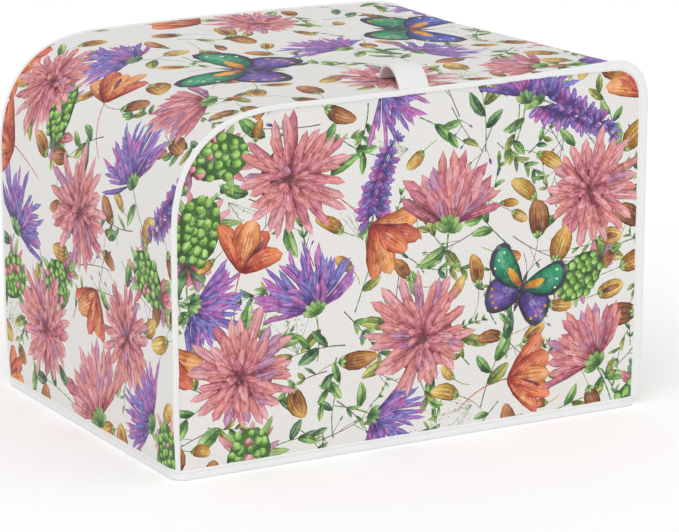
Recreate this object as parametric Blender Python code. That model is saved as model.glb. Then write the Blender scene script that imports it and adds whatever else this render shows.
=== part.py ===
"""Fitted fabric cover: a printed front panel, a printed back panel and one long
gusset that runs up the left side, over the top and down the right side, with
white binding on both seams, white binding round the hem and a short white
handle strap on top.  Metres, +Z up.  The origin is at the middle of the
footprint, on the surface that the hem stands on; +X is the width, the front
panel faces -Y.

The cloth stands a little unevenly: the rear of the top is higher than the
front, the right end of the front a little higher than the left, and the four
top corners have their own radii.
"""
import math

import bpy

# ---------------------------------------------------------------- dimensions
WIDTH = 0.300            # left to right, over the binding
DEPTH = 0.227            # front to back, over the binding
HEIGHT = 0.200           # top of the front seam, before the unevenness below
CLOTH = 0.0020           # cloth thickness
GAP = 0.0003             # between neighbouring pieces

BIND_FACE = 0.0046       # seam binding, its width on the front or back panel
BIND_SIDE = 0.0028       # seam binding, its width on the gusset
BIND_ROUND = 0.0012      # radius of the binding's outer fold
PROUD = 0.0007           # how far the binding stands out past the cloth

HEM_HEIGHT = 0.0056      # hem binding, its height
HEM_THICK = 0.0040       # hem binding, through the folded tape
HEM_CORNER = 0.0060      # its outer corner radius, seen from above
HEM_ROUND = 0.0008       # its small edge rounding

CORNER_POWER = 2.6       # 2 is a circular corner, more is fuller
CORNERS = {              # radius of each rounded top corner
    #            front     rear
    "left":    (0.0720,   0.0670),
    "right":   (0.0270,   0.0520),
}

REAR_RISE = 0.0085       # the rear seam is this much higher than the front one
LEAN = 0.0070            # the right end is this much higher than the left end
CROWN_FRONT = -0.0018    # middle of the top above its ends, front seam
CROWN_REAR = 0.0036      # the same, rear seam
REAR_SHIFT = 0.0             # how far the rear top leans to the right

PANEL_BOW_FRONT = 0.0020  # middle of the front panel, outward
PANEL_BOW_REAR = 0.0020   # middle of the back panel, outward
GUSSET_PULL = 0.0014      # middle of the gusset, inward between its seams

STRAP_WIDTH = 0.0185
STRAP_THICK = 0.0020
STRAP_X_FRONT = -0.0030  # centre line of the strap at the front seam
STRAP_X_REAR = 0.0040    # and at its rear end
STRAP_RISE = 0.0090      # underside of the loop above the top
STRAP_SPAN = 0.0300      # from the front foot to where it lies down again
STRAP_TAIL = 0.0070      # sewn-down length behind that

# Shallow dents and swells in the gusset cloth: place along the arch as a
# fraction of its length from the lower left, place in depth from front to rear,
# their half sizes, and the depth (+ is inward).
GUSSET_DENTS = [
    # along  depth   along_r  depth_r  inward
    (0.10,   0.42,   0.060,   0.30,    0.0009),
    (0.19,   0.70,   0.045,   0.22,   -0.0008),
    (0.285,  0.35,   0.040,   0.26,    0.0010),
    (0.335,  0.72,   0.035,   0.22,    0.0011),
    (0.43,   0.62,   0.050,   0.20,    0.0012),
    (0.52,   0.30,   0.045,   0.20,   -0.0007),
    (0.61,   0.70,   0.045,   0.24,    0.0010),
    (0.72,   0.45,   0.050,   0.28,   -0.0009),
    (0.86,   0.55,   0.070,   0.30,    0.0011),
]

HALF_W = WIDTH / 2
HALF_D = DEPTH / 2


# ---------------------------------------------------------------- shape rules
def bump(a, centre, radius):
    """A smooth hump of height 1 at centre, 0 past radius * 2."""
    r = abs(a - centre) / (2 * radius)
    return (1 - r * r) ** 2 if r < 1 else 0.0


def lift(x, y, z):
    """The unevenness of the standing cloth, growing from the hem to the top."""
    t = (y + HALF_D) / DEPTH
    w = max(0.0, min(1.1, z / HEIGHT)) ** 2
    across = x / WIDTH
    crown = CROWN_FRONT + (CROWN_REAR - CROWN_FRONT) * t
    dz = REAR_RISE * t + LEAN * across + crown * (1 - (2 * across) ** 2)
    return x + w * REAR_SHIFT * t, y, z + w * dz


def radii(y, inset):
    t = (y + HALF_D) / DEPTH
    left = CORNERS["left"][0] * (1 - t) + CORNERS["left"][1] * t
    right = CORNERS["right"][0] * (1 - t) + CORNERS["right"][1] * t
    return left - inset, right - inset


def arch(y, inset, foot, n_side=7, n_arc=13, n_top=9):
    """The cover's section at depth y as (x, z) points, from the foot of the left
    side over the top to the foot of the right side, inset from the outer size.
    The unevenness isn't in it yet."""
    hw, h = HALF_W - inset, HEIGHT - inset
    rl, rr = radii(y, inset)
    e = 2 / CORNER_POWER
    pts = []
    for i in range(n_side):
        pts.append((-hw, foot + (h - rl - foot) * i / n_side))
    for i in range(n_arc + 1):
        a = math.pi * (1 - 0.5 * i / n_arc)
        pts.append((-hw + rl - rl * abs(math.cos(a)) ** e, h - rl + rl * abs(math.sin(a)) ** e))
    for i in range(1, n_top):
        pts.append((-hw + rl + (2 * hw - rl - rr) * i / n_top, h))
    for i in range(n_arc + 1):
        a = math.pi * 0.5 * (1 - i / n_arc)
        pts.append((hw - rr + rr * abs(math.cos(a)) ** e, h - rr + rr * abs(math.sin(a)) ** e))
    for i in range(1, n_side + 1):
        pts.append((hw, h - rr + (foot - h + rr) * i / n_side))
    return pts


def normals(pts):
    """Outward unit normals of the arch."""
    out = []
    for i in range(len(pts)):
        a, b = pts[max(0, i - 1)], pts[min(len(pts) - 1, i + 1)]
        dx, dz = b[0] - a[0], b[1] - a[1]
        n = math.hypot(dx, dz) or 1.0
        out.append((-dz / n, dx / n))
    return out


def fractions(pts):
    """Each point's distance along the arch as a fraction of its length."""
    d = [0.0]
    for a, b in zip(pts, pts[1:]):
        d.append(d[-1] + math.hypot(b[0] - a[0], b[1] - a[1]))
    return [v / d[-1] for v in d]


def pull(along, depth):
    """How far the gusset's cloth lies inward of its seams' line."""
    hold = math.sin(math.pi * min(1.0, max(0.0, depth)))
    ends = min(1.0, along / 0.05, (1 - along) / 0.05)
    v = GUSSET_PULL
    for a, d, ra, rd, inward in GUSSET_DENTS:
        v += inward * bump(along, a, ra) * bump(depth, d, rd)
    return v * hold * ends


# ---------------------------------------------------------------- mesh helpers
def clear_scene():
    for o in list(bpy.data.objects):
        bpy.data.objects.remove(o, do_unlink=True)


def material(name, colour, roughness):
    m = bpy.data.materials.new(name)
    m.use_nodes = True
    b = m.node_tree.nodes["Principled BSDF"]
    b.inputs["Base Color"].default_value = (*colour, 1.0)
    b.inputs["Roughness"].default_value = roughness
    b.inputs["Metallic"].default_value = 0.0
    return m


def add_object(name, verts, faces, mat, angle=35):
    me = bpy.data.meshes.new(name)
    me.from_pydata(verts, [], faces)
    me.validate()
    me.update()
    me.shade_smooth()
    me.set_sharp_from_angle(angle=math.radians(angle))
    ob = bpy.data.objects.new(name, me)
    bpy.context.scene.collection.objects.link(ob)
    me.materials.append(mat)
    return ob


def closed_slab(outer, inner):
    """A slab between two like grids of points, rows by columns: outer faces
    out, inner faces in, and the rim closes it."""
    rows, cols = len(outer), len(outer[0])
    verts = [p for row in outer for p in row] + [p for row in inner for p in row]
    k = rows * cols
    faces = []
    for r in range(rows - 1):
        for c in range(cols - 1):
            a, b = r * cols + c, r * cols + c + 1
            d, e = a + cols, b + cols
            faces.append((a, b, e, d))
            faces.append((k + a, k + d, k + e, k + b))
    for c in range(cols - 1):
        a, b = c, c + 1
        faces.append((a, k + a, k + b, b))
        a, b = (rows - 1) * cols + c, (rows - 1) * cols + c + 1
        faces.append((a, b, k + b, k + a))
    for r in range(rows - 1):
        a, d = r * cols, (r + 1) * cols
        faces.append((a, d, k + d, k + a))
        a, d = r * cols + cols - 1, (r + 1) * cols + cols - 1
        faces.append((a, k + a, k + d, d))
    return verts, faces


def sweep(rings, closed):
    """A bar through a list of like rings of points, capped when not closed."""
    n = len(rings[0])
    verts = [p for ring in rings for p in ring]
    faces = []
    count = len(rings)
    for r in range(count if closed else count - 1):
        s = (r + 1) % count
        for i in range(n):
            j = (i + 1) % n
            faces.append((r * n + i, r * n + j, s * n + j, s * n + i))
    if not closed:
        faces.append(tuple(range(n))[::-1])
        faces.append(tuple((count - 1) * n + i for i in range(n)))
    return verts, faces


def outward(verts, faces):
    """Turn the faces over if the body's signed volume is negative."""
    vol = 0.0
    for f in faces:
        a = verts[f[0]]
        for i in range(1, len(f) - 1):
            b, c = verts[f[i]], verts[f[i + 1]]
            vol += (a[0] * (b[1] * c[2] - b[2] * c[1]) - a[1] * (b[0] * c[2] - b[2] * c[0])
                    + a[2] * (b[0] * c[1] - b[1] * c[0]))
    return faces if vol > 0 else [tuple(reversed(f)) for f in faces]


# ---------------------------------------------------------------- the pieces
def gusset():
    foot = HEM_HEIGHT + GAP
    y0, y1 = -HALF_D + BIND_SIDE + GAP, HALF_D - BIND_SIDE - GAP
    rows = 11
    outer, inner = [], []
    for r in range(rows):
        t = r / (rows - 1)
        y = y0 + (y1 - y0) * t
        o, i = [], []
        face = arch(y, PROUD, foot)
        back = arch(y, PROUD + CLOTH, foot)
        ns, fr = normals(face), fractions(face)
        for p, q, n, a in zip(face, back, ns, fr):
            d = pull(a, t)
            o.append(lift(p[0] - n[0] * d, y, p[1] - n[1] * d))
            i.append(lift(q[0] - n[0] * d, y, q[1] - n[1] * d))
        outer.append(o)
        inner.append(i)
    return closed_slab(outer, inner)


def panel(front):
    """A flat end panel that bows outward a little; rows run up from the hem."""
    inset, foot = BIND_FACE + GAP, HEM_HEIGHT + GAP
    sign = -1 if front else 1
    y_face = sign * (HALF_D - PROUD)
    bow = PANEL_BOW_FRONT if front else PANEL_BOW_REAR
    hw, h = HALF_W - inset, HEIGHT - inset
    rl, rr = radii(y_face, inset)
    big = max(rl, rr)
    levels = [foot + (h - big - foot) * i / 9 for i in range(9)]
    levels += [h - big + big * math.sin(math.pi / 2 * i / 12) for i in range(13)]
    p = CORNER_POWER

    def edge(z, r):
        u = (z - (h - r)) / r
        return 0.0 if u <= 0 else r * (1 - max(0.0, 1 - min(1.0, u) ** p) ** (1 / p))

    cols = 15
    face, back = [], []
    for z in levels:
        xl, xr = -hw + edge(z, rl), hw - edge(z, rr)
        f, b = [], []
        for c in range(cols):
            x = xl + (xr - xl) * c / (cols - 1)
            up = math.sin(math.pi * max(0.0, z - foot) / (h - foot))
            side = math.sin(math.pi * c / (cols - 1))
            d = bow * up * side
            X, _, Z = lift(x, y_face, z)
            f.append((X, y_face + sign * d, Z))
            b.append((X, y_face + sign * (d - CLOTH), Z))
        face.append(f)
        back.append(b)
    return closed_slab(face, back)


def fold_section():
    """The seam binding's section: (in from the gusset's side, in from the panel's
    face), with a round outer fold."""
    pts = [(BIND_FACE, 0.0)]
    for i in range(5):
        a = math.pi / 2 * i / 4
        pts.append((BIND_ROUND * (1 - math.sin(a)), BIND_ROUND * (1 - math.cos(a))))
    pts += [(0.0, BIND_SIDE), (BIND_FACE, BIND_SIDE)]
    return pts


def seam_binding(front):
    foot = HEM_HEIGHT + GAP
    sign = -1 if front else 1
    sec = fold_section()
    lines = []
    for inset, back in sec:
        y = sign * (HALF_D - back)
        lines.append([lift(x, y, z) for x, z in arch(y, inset, foot)])
    rings = [[line[i] for line in lines] for i in range(len(lines[0]))]
    return sweep(rings, closed=False)


def hem_binding():
    """A ring of folded tape round the lower edge; its underside is flat."""
    section = [                       # (in from the outer face, height)
        (HEM_ROUND, 0.0), (HEM_THICK - HEM_ROUND, 0.0),
        (HEM_THICK, HEM_ROUND), (HEM_THICK, HEM_HEIGHT - HEM_ROUND),
        (HEM_THICK - HEM_ROUND, HEM_HEIGHT), (HEM_ROUND, HEM_HEIGHT),
        (0.0, HEM_HEIGHT - HEM_ROUND), (0.0, HEM_ROUND),
    ]
    corners = [(1, -1, -90), (1, 1, 0), (-1, 1, 90), (-1, -1, 180)]
    rings = []
    for sx, sy, start in corners:
        cx, cy = sx * (HALF_W - HEM_CORNER), sy * (HALF_D - HEM_CORNER)
        for i in range(6):
            a = math.radians(start + 90 * i / 5)
            rings.append([(cx + (HEM_CORNER - d) * math.cos(a), cy + (HEM_CORNER - d) * math.sin(a), z)
                          for d, z in section])
    # points along the straight runs, so that the long faces stay compact
    full = []
    for k, ring in enumerate(rings):
        full.append(ring)
        if k % 6 == 5:
            nxt = rings[(k + 1) % len(rings)]
            for j in range(1, 6):
                f = j / 6
                full.append([tuple(p[m] + (q[m] - p[m]) * f for m in range(3)) for p, q in zip(ring, nxt)])
    return sweep(full, closed=True)


def top_height(x, y):
    """Height of the gusset's outer face near the middle of the top."""
    t = (y - (-HALF_D + BIND_SIDE + GAP)) / (DEPTH - 2 * (BIND_SIDE + GAP))
    face = arch(y, PROUD, HEM_HEIGHT + GAP)
    fr = fractions(face)
    for k in range(len(face) - 1):
        if face[k][0] <= x <= face[k + 1][0] and face[k][1] > HEIGHT * 0.9:
            f = (x - face[k][0]) / (face[k + 1][0] - face[k][0] or 1)
            a = fr[k] + (fr[k + 1] - fr[k]) * f
            break
    return lift(x, y, HEIGHT - PROUD - pull(a, t))[2]


def strap_line():
    """The strap's underside as (x, y, z) from its front foot to its rear end."""
    y0 = -HALF_D + BIND_SIDE + GAP + 0.0004
    steps = 26
    pts = []
    total = STRAP_SPAN + STRAP_TAIL
    for i in range(steps + 1):
        s = i / steps
        run = s * total
        if run < STRAP_SPAN:
            u = run / STRAP_SPAN
            # a round loop, highest a little behind its middle
            k = u ** 1.15
            up = STRAP_RISE * (1 - abs(2 * k - 1) ** 2.4) ** 0.9 if 0 < u < 1 else 0.0
        else:
            up = 0.0
        y = y0 + run
        x = STRAP_X_FRONT + (STRAP_X_REAR - STRAP_X_FRONT) * s
        pts.append((x, y, top_height(x, y) + GAP + up))
    return pts


def handle_strap():
    line = strap_line()
    half = STRAP_WIDTH / 2
    rings = []
    for i, (x, y, z) in enumerate(line):
        a, b = line[max(0, i - 1)], line[min(len(line) - 1, i + 1)]
        ty, tz = b[1] - a[1], b[2] - a[2]
        n = math.hypot(ty, tz)
        ny, nz = -tz / n, ty / n
        if i == 0:
            ny, nz = 0.0, 1.0      # the front foot stands on its cut end
        # slightly rounded edges across the strap
        section = [(-half, 0.25), (-half + 0.0008, 0.0), (half - 0.0008, 0.0), (half, 0.25),
                   (half, 0.75), (half - 0.0008, 1.0), (-half + 0.0008, 1.0), (-half, 0.75)]
        rings.append([(x + dx, y + ny * STRAP_THICK * k, z + nz * STRAP_THICK * k) for dx, k in section])
    return sweep(rings, closed=False)


def main():
    clear_scene()
    prints = (0.80, 0.74, 0.71)
    white = (0.85, 0.85, 0.84)
    pieces = [
        ("gusset", gusset(), prints, 0.75),
        ("front_panel", panel(True), prints, 0.75),
        ("back_panel", panel(False), prints, 0.75),
        ("binding_front", seam_binding(True), white, 0.65),
        ("binding_rear", seam_binding(False), white, 0.65),
        ("hem_binding", hem_binding(), white, 0.65),
        ("handle_strap", handle_strap(), white, 0.60),
    ]
    root = bpy.data.objects.new("cover", None)
    bpy.context.scene.collection.objects.link(root)
    for name, (verts, faces), colour, rough in pieces:
        ob = add_object(name, verts, outward(verts, faces), material("mat_" + name, colour, rough))
        ob.parent = root


main()
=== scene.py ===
"""The looks of a fitted, printed fabric cover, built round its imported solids.

The cloth pieces are cut as flat patterns (millimetres), the flower print is
laid out on each flat pattern from many small brush-stroke shapes, the pattern
is cut along those shapes, and then it is bent onto the standing form.
"""
import math
import random

import bpy
import numpy as np
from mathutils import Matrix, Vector
from mathutils.geometry import delaunay_2d_cdt


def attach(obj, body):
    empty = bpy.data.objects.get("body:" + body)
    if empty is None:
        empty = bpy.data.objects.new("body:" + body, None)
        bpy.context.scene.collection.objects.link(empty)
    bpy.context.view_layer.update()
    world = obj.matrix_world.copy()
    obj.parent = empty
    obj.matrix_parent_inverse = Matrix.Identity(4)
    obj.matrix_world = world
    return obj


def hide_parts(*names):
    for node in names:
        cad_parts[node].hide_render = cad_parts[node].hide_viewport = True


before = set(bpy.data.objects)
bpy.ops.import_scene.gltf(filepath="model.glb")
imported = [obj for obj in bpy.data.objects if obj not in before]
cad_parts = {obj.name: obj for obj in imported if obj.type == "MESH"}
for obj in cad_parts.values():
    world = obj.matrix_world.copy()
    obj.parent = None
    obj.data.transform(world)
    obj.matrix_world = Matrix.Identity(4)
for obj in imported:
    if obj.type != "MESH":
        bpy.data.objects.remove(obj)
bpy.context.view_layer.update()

# ---------------------------------------------------------------- sizes (m)
WIDTH, DEPTH, HEIGHT = 0.300, 0.227, 0.200
HALF_W, HALF_D = WIDTH / 2, DEPTH / 2
CLOTH = 0.0020
BIND_FACE, BIND_SIDE, PROUD = 0.0046, 0.0028, 0.0007
HEM_HEIGHT, HEM_THICK = 0.0056, 0.0040
CORNER_POWER = 2.6
RADIUS = {"left": (0.0720, 0.0670), "right": (0.0270, 0.0520)}
REAR_RISE, LEAN = 0.0085, 0.0070
CROWN_FRONT, CROWN_REAR = -0.0018, 0.0036
BOW = 0.0020
GUSSET_PULL = 0.0014
GUSSET_DENTS = [
    (0.10, 0.42, 0.060, 0.30, 0.0009), (0.19, 0.70, 0.045, 0.22, -0.0008),
    (0.285, 0.35, 0.040, 0.26, 0.0010), (0.335, 0.72, 0.035, 0.22, 0.0011),
    (0.43, 0.62, 0.050, 0.20, 0.0012), (0.52, 0.30, 0.045, 0.20, -0.0007),
    (0.61, 0.70, 0.045, 0.24, 0.0010), (0.72, 0.45, 0.050, 0.28, -0.0009),
    (0.86, 0.55, 0.070, 0.30, 0.0011),
]
STRAP_WIDTH, STRAP_THICK = 0.0185, 0.0020
STRAP_X_FRONT, STRAP_X_REAR = -0.0030, 0.0040
STRAP_RISE, STRAP_SPAN, STRAP_TAIL = 0.0090, 0.0300, 0.0070
LOW_CORNER = 0.0085      # plan radius of the four corners at the hem


# ---------------------------------------------------------------- standing form
def hump(a, centre, radius):
    r = np.minimum(np.abs(a - centre) / (2 * radius), 1.0)
    return (1 - r * r) ** 2


def depth_t(y):
    return (y + HALF_D) / DEPTH


def lift(P):
    """Unevenness of the standing cloth, as in the solids."""
    P = np.array(P, float)
    x, y, z = P[..., 0], P[..., 1], P[..., 2]
    t = depth_t(y)
    w = np.clip(z / HEIGHT, 0, 1.1) ** 2
    across = x / WIDTH
    crown = CROWN_FRONT + (CROWN_REAR - CROWN_FRONT) * t
    P[..., 2] = z + w * (REAR_RISE * t + LEAN * across + crown * (1 - (2 * across) ** 2))
    return P


def soften(P):
    """Rounds the four upright corners towards the hem."""
    P = np.array(P, float)
    x, y, z = P[..., 0], P[..., 1], P[..., 2]
    r = LOW_CORNER
    dx = np.maximum(np.abs(x) - (HALF_W - r), 0)
    dy = np.maximum(np.abs(y) - (HALF_D - r), 0)
    n = np.hypot(dx, dy)
    m = np.maximum(dx, dy)
    k = np.where(n > 1e-9, m / np.maximum(n, 1e-9), 1.0)
    w = np.clip(1 - z / 0.042, 0, 1) ** 1.5
    k = 1 + (k - 1) * w
    both = (dx > 0) & (dy > 0)
    P[..., 0] = np.where(both, np.sign(x) * (HALF_W - r + dx * k), x)
    P[..., 1] = np.where(both, np.sign(y) * (HALF_D - r + dy * k), y)
    return P


def arch(y, inset, foot, n_side=60, n_arc=70, n_top=90):
    """Section of the cover at depth y as an (n, 2) array of x, z."""
    hw, h = HALF_W - inset, HEIGHT - inset
    t = depth_t(y)
    rl = RADIUS["left"][0] * (1 - t) + RADIUS["left"][1] * t - inset
    rr = RADIUS["right"][0] * (1 - t) + RADIUS["right"][1] * t - inset
    e = 2 / CORNER_POWER
    z = foot + (h - rl - foot) * np.arange(n_side) / n_side
    left = np.stack([np.full(n_side, -hw), z], 1)
    a = np.pi * (1 - 0.5 * np.arange(n_arc + 1) / n_arc)
    al = np.stack([-hw + rl - rl * np.abs(np.cos(a)) ** e, h - rl + rl * np.abs(np.sin(a)) ** e], 1)
    x = -hw + rl + (2 * hw - rl - rr) * np.arange(1, n_top) / n_top
    top = np.stack([x, np.full(n_top - 1, h)], 1)
    a = np.pi * 0.5 * (1 - np.arange(n_arc + 1) / n_arc)
    ar = np.stack([hw - rr + rr * np.abs(np.cos(a)) ** e, h - rr + rr * np.abs(np.sin(a)) ** e], 1)
    z = h - rr + (foot - h + rr) * np.arange(1, n_side + 1) / n_side
    right = np.stack([np.full(n_side, hw), z], 1)
    return np.concatenate([left, al, top, ar, right])


def evenly(line, n):
    """The line at n points the same distance apart, and its length."""
    d = np.r_[0, np.cumsum(np.hypot(*np.diff(line, axis=0).T))]
    s = np.linspace(0, d[-1], n)
    return np.stack([np.interp(s, d, line[:, k]) for k in range(line.shape[1])], 1), d[-1]


def line_normals(line):
    g = np.gradient(line, axis=0)
    n = np.stack([-g[:, 1], g[:, 0]], 1)
    return n / np.maximum(np.linalg.norm(n, axis=1, keepdims=True), 1e-12)


def ripple(a, seed):
    """A slow, uneven wave of about +-1 along a (mm)."""
    r = random.Random(seed)
    out = 0
    for period, amp in ((41.0, .5), (23.0, .6), (13.7, .55), (8.9, .3)):
        out = out + amp * np.sin(2 * np.pi * a / (period * r.uniform(.9, 1.1)) + r.uniform(0, 6.28))
    return out


GUSSET_MM = (655.0, 224.0)       # along the arch, front to rear: the flat cut
NA, NY = 561, 113

# soft creases: from (along, depth) to (along, depth) in mm of the
# flat gusset, half width mm, height mm (+ is outward)
GUSSET_CREASES = [
    (128, 40, 176, 150, 9, -0.75), (150, 150, 196, 215, 8, 0.70), (60, 20, 96, 90, 10, 0.60),
    (30, 120, 66, 200, 10, -0.60), (205, 30, 236, 120, 8, -0.65), (228, 120, 262, 205, 8, 0.70),
    (300, 150, 352, 214, 9, -0.55), (340, 70, 420, 110, 8, 0.30), (430, 120, 470, 205, 9, -0.45),
    (470, 20, 520, 80, 9, 0.40), (520, 120, 585, 160, 9, -0.40), (600, 40, 640, 110, 10, 0.35),
]
PANEL_CREASES = [
    (-118, 40, -96, 120, 9, 0.40), (-60, 20, -20, 70, 10, -0.35), (20, 130, 70, 168, 8, -0.40),
    (96, 60, 120, 130, 9, 0.40), (-100, 150, -50, 176, 7, -0.40), (40, 20, 90, 44, 10, 0.30),
    (-20, 90, 30, 130, 14, 0.35),
]


def creases(px, py, table, clip=1.0):
    out = np.zeros_like(px)
    for x0, y0, x1, y1, wid, high in table:
        dx, dy = x1 - x0, y1 - y0
        L = math.hypot(dx, dy)
        s = ((px - x0) * dx + (py - y0) * dy) / L
        q = (-(px - x0) * dy + (py - y0) * dx) / L + 0.06 * np.minimum(np.maximum(s, 0), L) * np.sin(s / 17)
        along = np.clip(np.minimum(s / (0.35 * L) + 0.35, (L - s) / (0.35 * L) + 0.35), 0, 1)
        out += clip * high * np.exp(-(q / wid) ** 2) * along * along * (3 - 2 * along)
    return out


def gusset_grid():
    """Places and normals of the gusset's outer face on an NY by NA grid."""
    y0, y1 = -HALF_D + 0.0013, HALF_D - 0.0013
    P = np.zeros((NY, NA, 3))
    N = np.zeros((NY, NA, 2))
    for r in range(NY):
        y = y0 + (y1 - y0) * r / (NY - 1)
        line, _ = evenly(arch(y, PROUD, 0.0022), NA)
        P[r, :, 0], P[r, :, 1], P[r, :, 2] = line[:, 0], y, line[:, 1]
        N[r] = line_normals(line)
    f = np.linspace(0, 1, NA)[None, :].repeat(NY, 0)
    t = np.linspace(0, 1, NY)[:, None].repeat(NA, 1)
    hold = np.sin(np.pi * t)
    ends = np.clip(np.minimum(f / 0.05, (1 - f) / 0.05), 0, 1)
    inward = np.full_like(f, GUSSET_PULL)
    for a, d, ra, rd, v in GUSSET_DENTS:
        inward += v * hump(f, a, ra) * hump(t, d, rd)
    inward *= hold * ends
    am, ym = f * GUSSET_MM[0], t * GUSSET_MM[1]
    out = creases(am, ym, GUSSET_CREASES) * np.minimum(1, hold * 2.2) * ends
    for side, seed in ((ym, 11), (GUSSET_MM[1] - ym, 12)):
        out += 0.34 * ripple(am, seed) * np.exp(-side / 9.0) * np.clip((side - 1.5) / 3, 0, 1)
    shift = out / 1000 - inward
    P[..., 0] += N[..., 0] * shift
    P[..., 2] += N[..., 1] * shift
    P = soften(lift(P))
    da, dy = np.gradient(P, axis=1), np.gradient(P, axis=0)
    nn = np.cross(dy, da)
    nn /= np.linalg.norm(nn, axis=2, keepdims=True)
    if nn[NY // 2, NA // 2, 2] < 0:
        nn = -nn
    return P, nn


def bilinear(G, u, v):
    """Grid G (rows v, columns u) at fractions u, v."""
    rows, cols = G.shape[:2]
    x, y = np.clip(u, 0, 1) * (cols - 1), np.clip(v, 0, 1) * (rows - 1)
    i, j = np.minimum(x.astype(int), cols - 2), np.minimum(y.astype(int), rows - 2)
    fx, fy = (x - i)[:, None], (y - j)[:, None]
    return (G[j, i] * (1 - fx) * (1 - fy) + G[j, i + 1] * fx * (1 - fy)
            + G[j + 1, i] * (1 - fx) * fy + G[j + 1, i + 1] * fx * fy)


def panel_outline(front, inset=0.0016, foot=0.0022):
    y = -HALF_D if front else HALF_D
    line, _ = evenly(arch(y, inset, foot), 260)
    return line * 1000


def panel_shape(x, z, front, outline):
    """Outward bow, creases and seam puckers (mm) at x, z (mm) of a panel."""
    u = np.clip((x + 148) / 296, 0, 1)
    v = np.clip((z - 6) / 188, 0, 1)
    d = BOW * 1000 * np.sin(np.pi * u) * np.sin(np.pi * v)
    d = d + creases(x, z, PANEL_CREASES if front else [(-a, b, -c, e, w, h) for a, b, c, e, w, h in PANEL_CREASES])
    # distance to the arch and place along it
    step = outline[::2]
    best = np.full(x.shape, 1e9)
    where = np.zeros(x.shape)
    run = np.r_[0, np.cumsum(np.hypot(*np.diff(step, axis=0).T))]
    for k in range(len(step)):
        q = np.hypot(x - step[k, 0], z - step[k, 1])
        near = q < best
        best = np.where(near, q, best)
        where = np.where(near, run[k], where)
    d = d + 0.32 * ripple(where, 21 if front else 22) * np.exp(-best / 9.0) * np.clip((best - 2.0) / 4, 0, 1)
    return d


# ---------------------------------------------------------------- print colours
def lin(r, g, b):
    return tuple(((c / 255) / 12.92 if c <= 10 else ((c / 255 + 0.055) / 1.055) ** 2.4) for c in (r, g, b))


PINKS = [((168, 66, 88), (222, 138, 150)), ((186, 92, 106), (234, 168, 172)), ((150, 52, 78), (206, 116, 136)),
         ((182, 80, 90), (228, 148, 146)), ((146, 78, 122), (200, 142, 176))]
SHADE = ((96, 30, 50), (132, 52, 74))
VIOLETS = [((84, 56, 140), (144, 110, 192)), ((112, 60, 150), (172, 122, 202)), ((76, 66, 150), (132, 126, 200)),
           ((134, 62, 140), (196, 116, 190))]
GREENS = [((58, 110, 50), (134, 180, 94)), ((80, 132, 58), (166, 198, 118)), ((48, 94, 60), (114, 156, 104)),
          ((104, 126, 46), (180, 186, 96))]
LEAVES = [(((92, 146, 62), (160, 204, 112)), ((40, 86, 42), (96, 150, 76))),
          (((112, 160, 82), (186, 218, 142)), ((62, 110, 54), (124, 168, 88))),
          (((78, 124, 78), (136, 178, 120)), ((36, 76, 50), (84, 128, 84))),
          (((132, 144, 58), (198, 202, 112)), ((86, 102, 38), (146, 156, 70)))]
GOLDS = [((172, 116, 36), (222, 176, 82)), ((156, 94, 34), (210, 150, 72)), ((190, 142, 48), (232, 198, 112)),
         ((144, 82, 42), (198, 136, 80))]
REDS = [((190, 62, 44), (236, 138, 92)), ((172, 50, 50), (222, 112, 82)), ((200, 92, 48), (242, 172, 108))]
TWIG = ((62, 58, 50), (100, 96, 80))
SAGE = ((98, 120, 92), (158, 176, 140))


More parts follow.
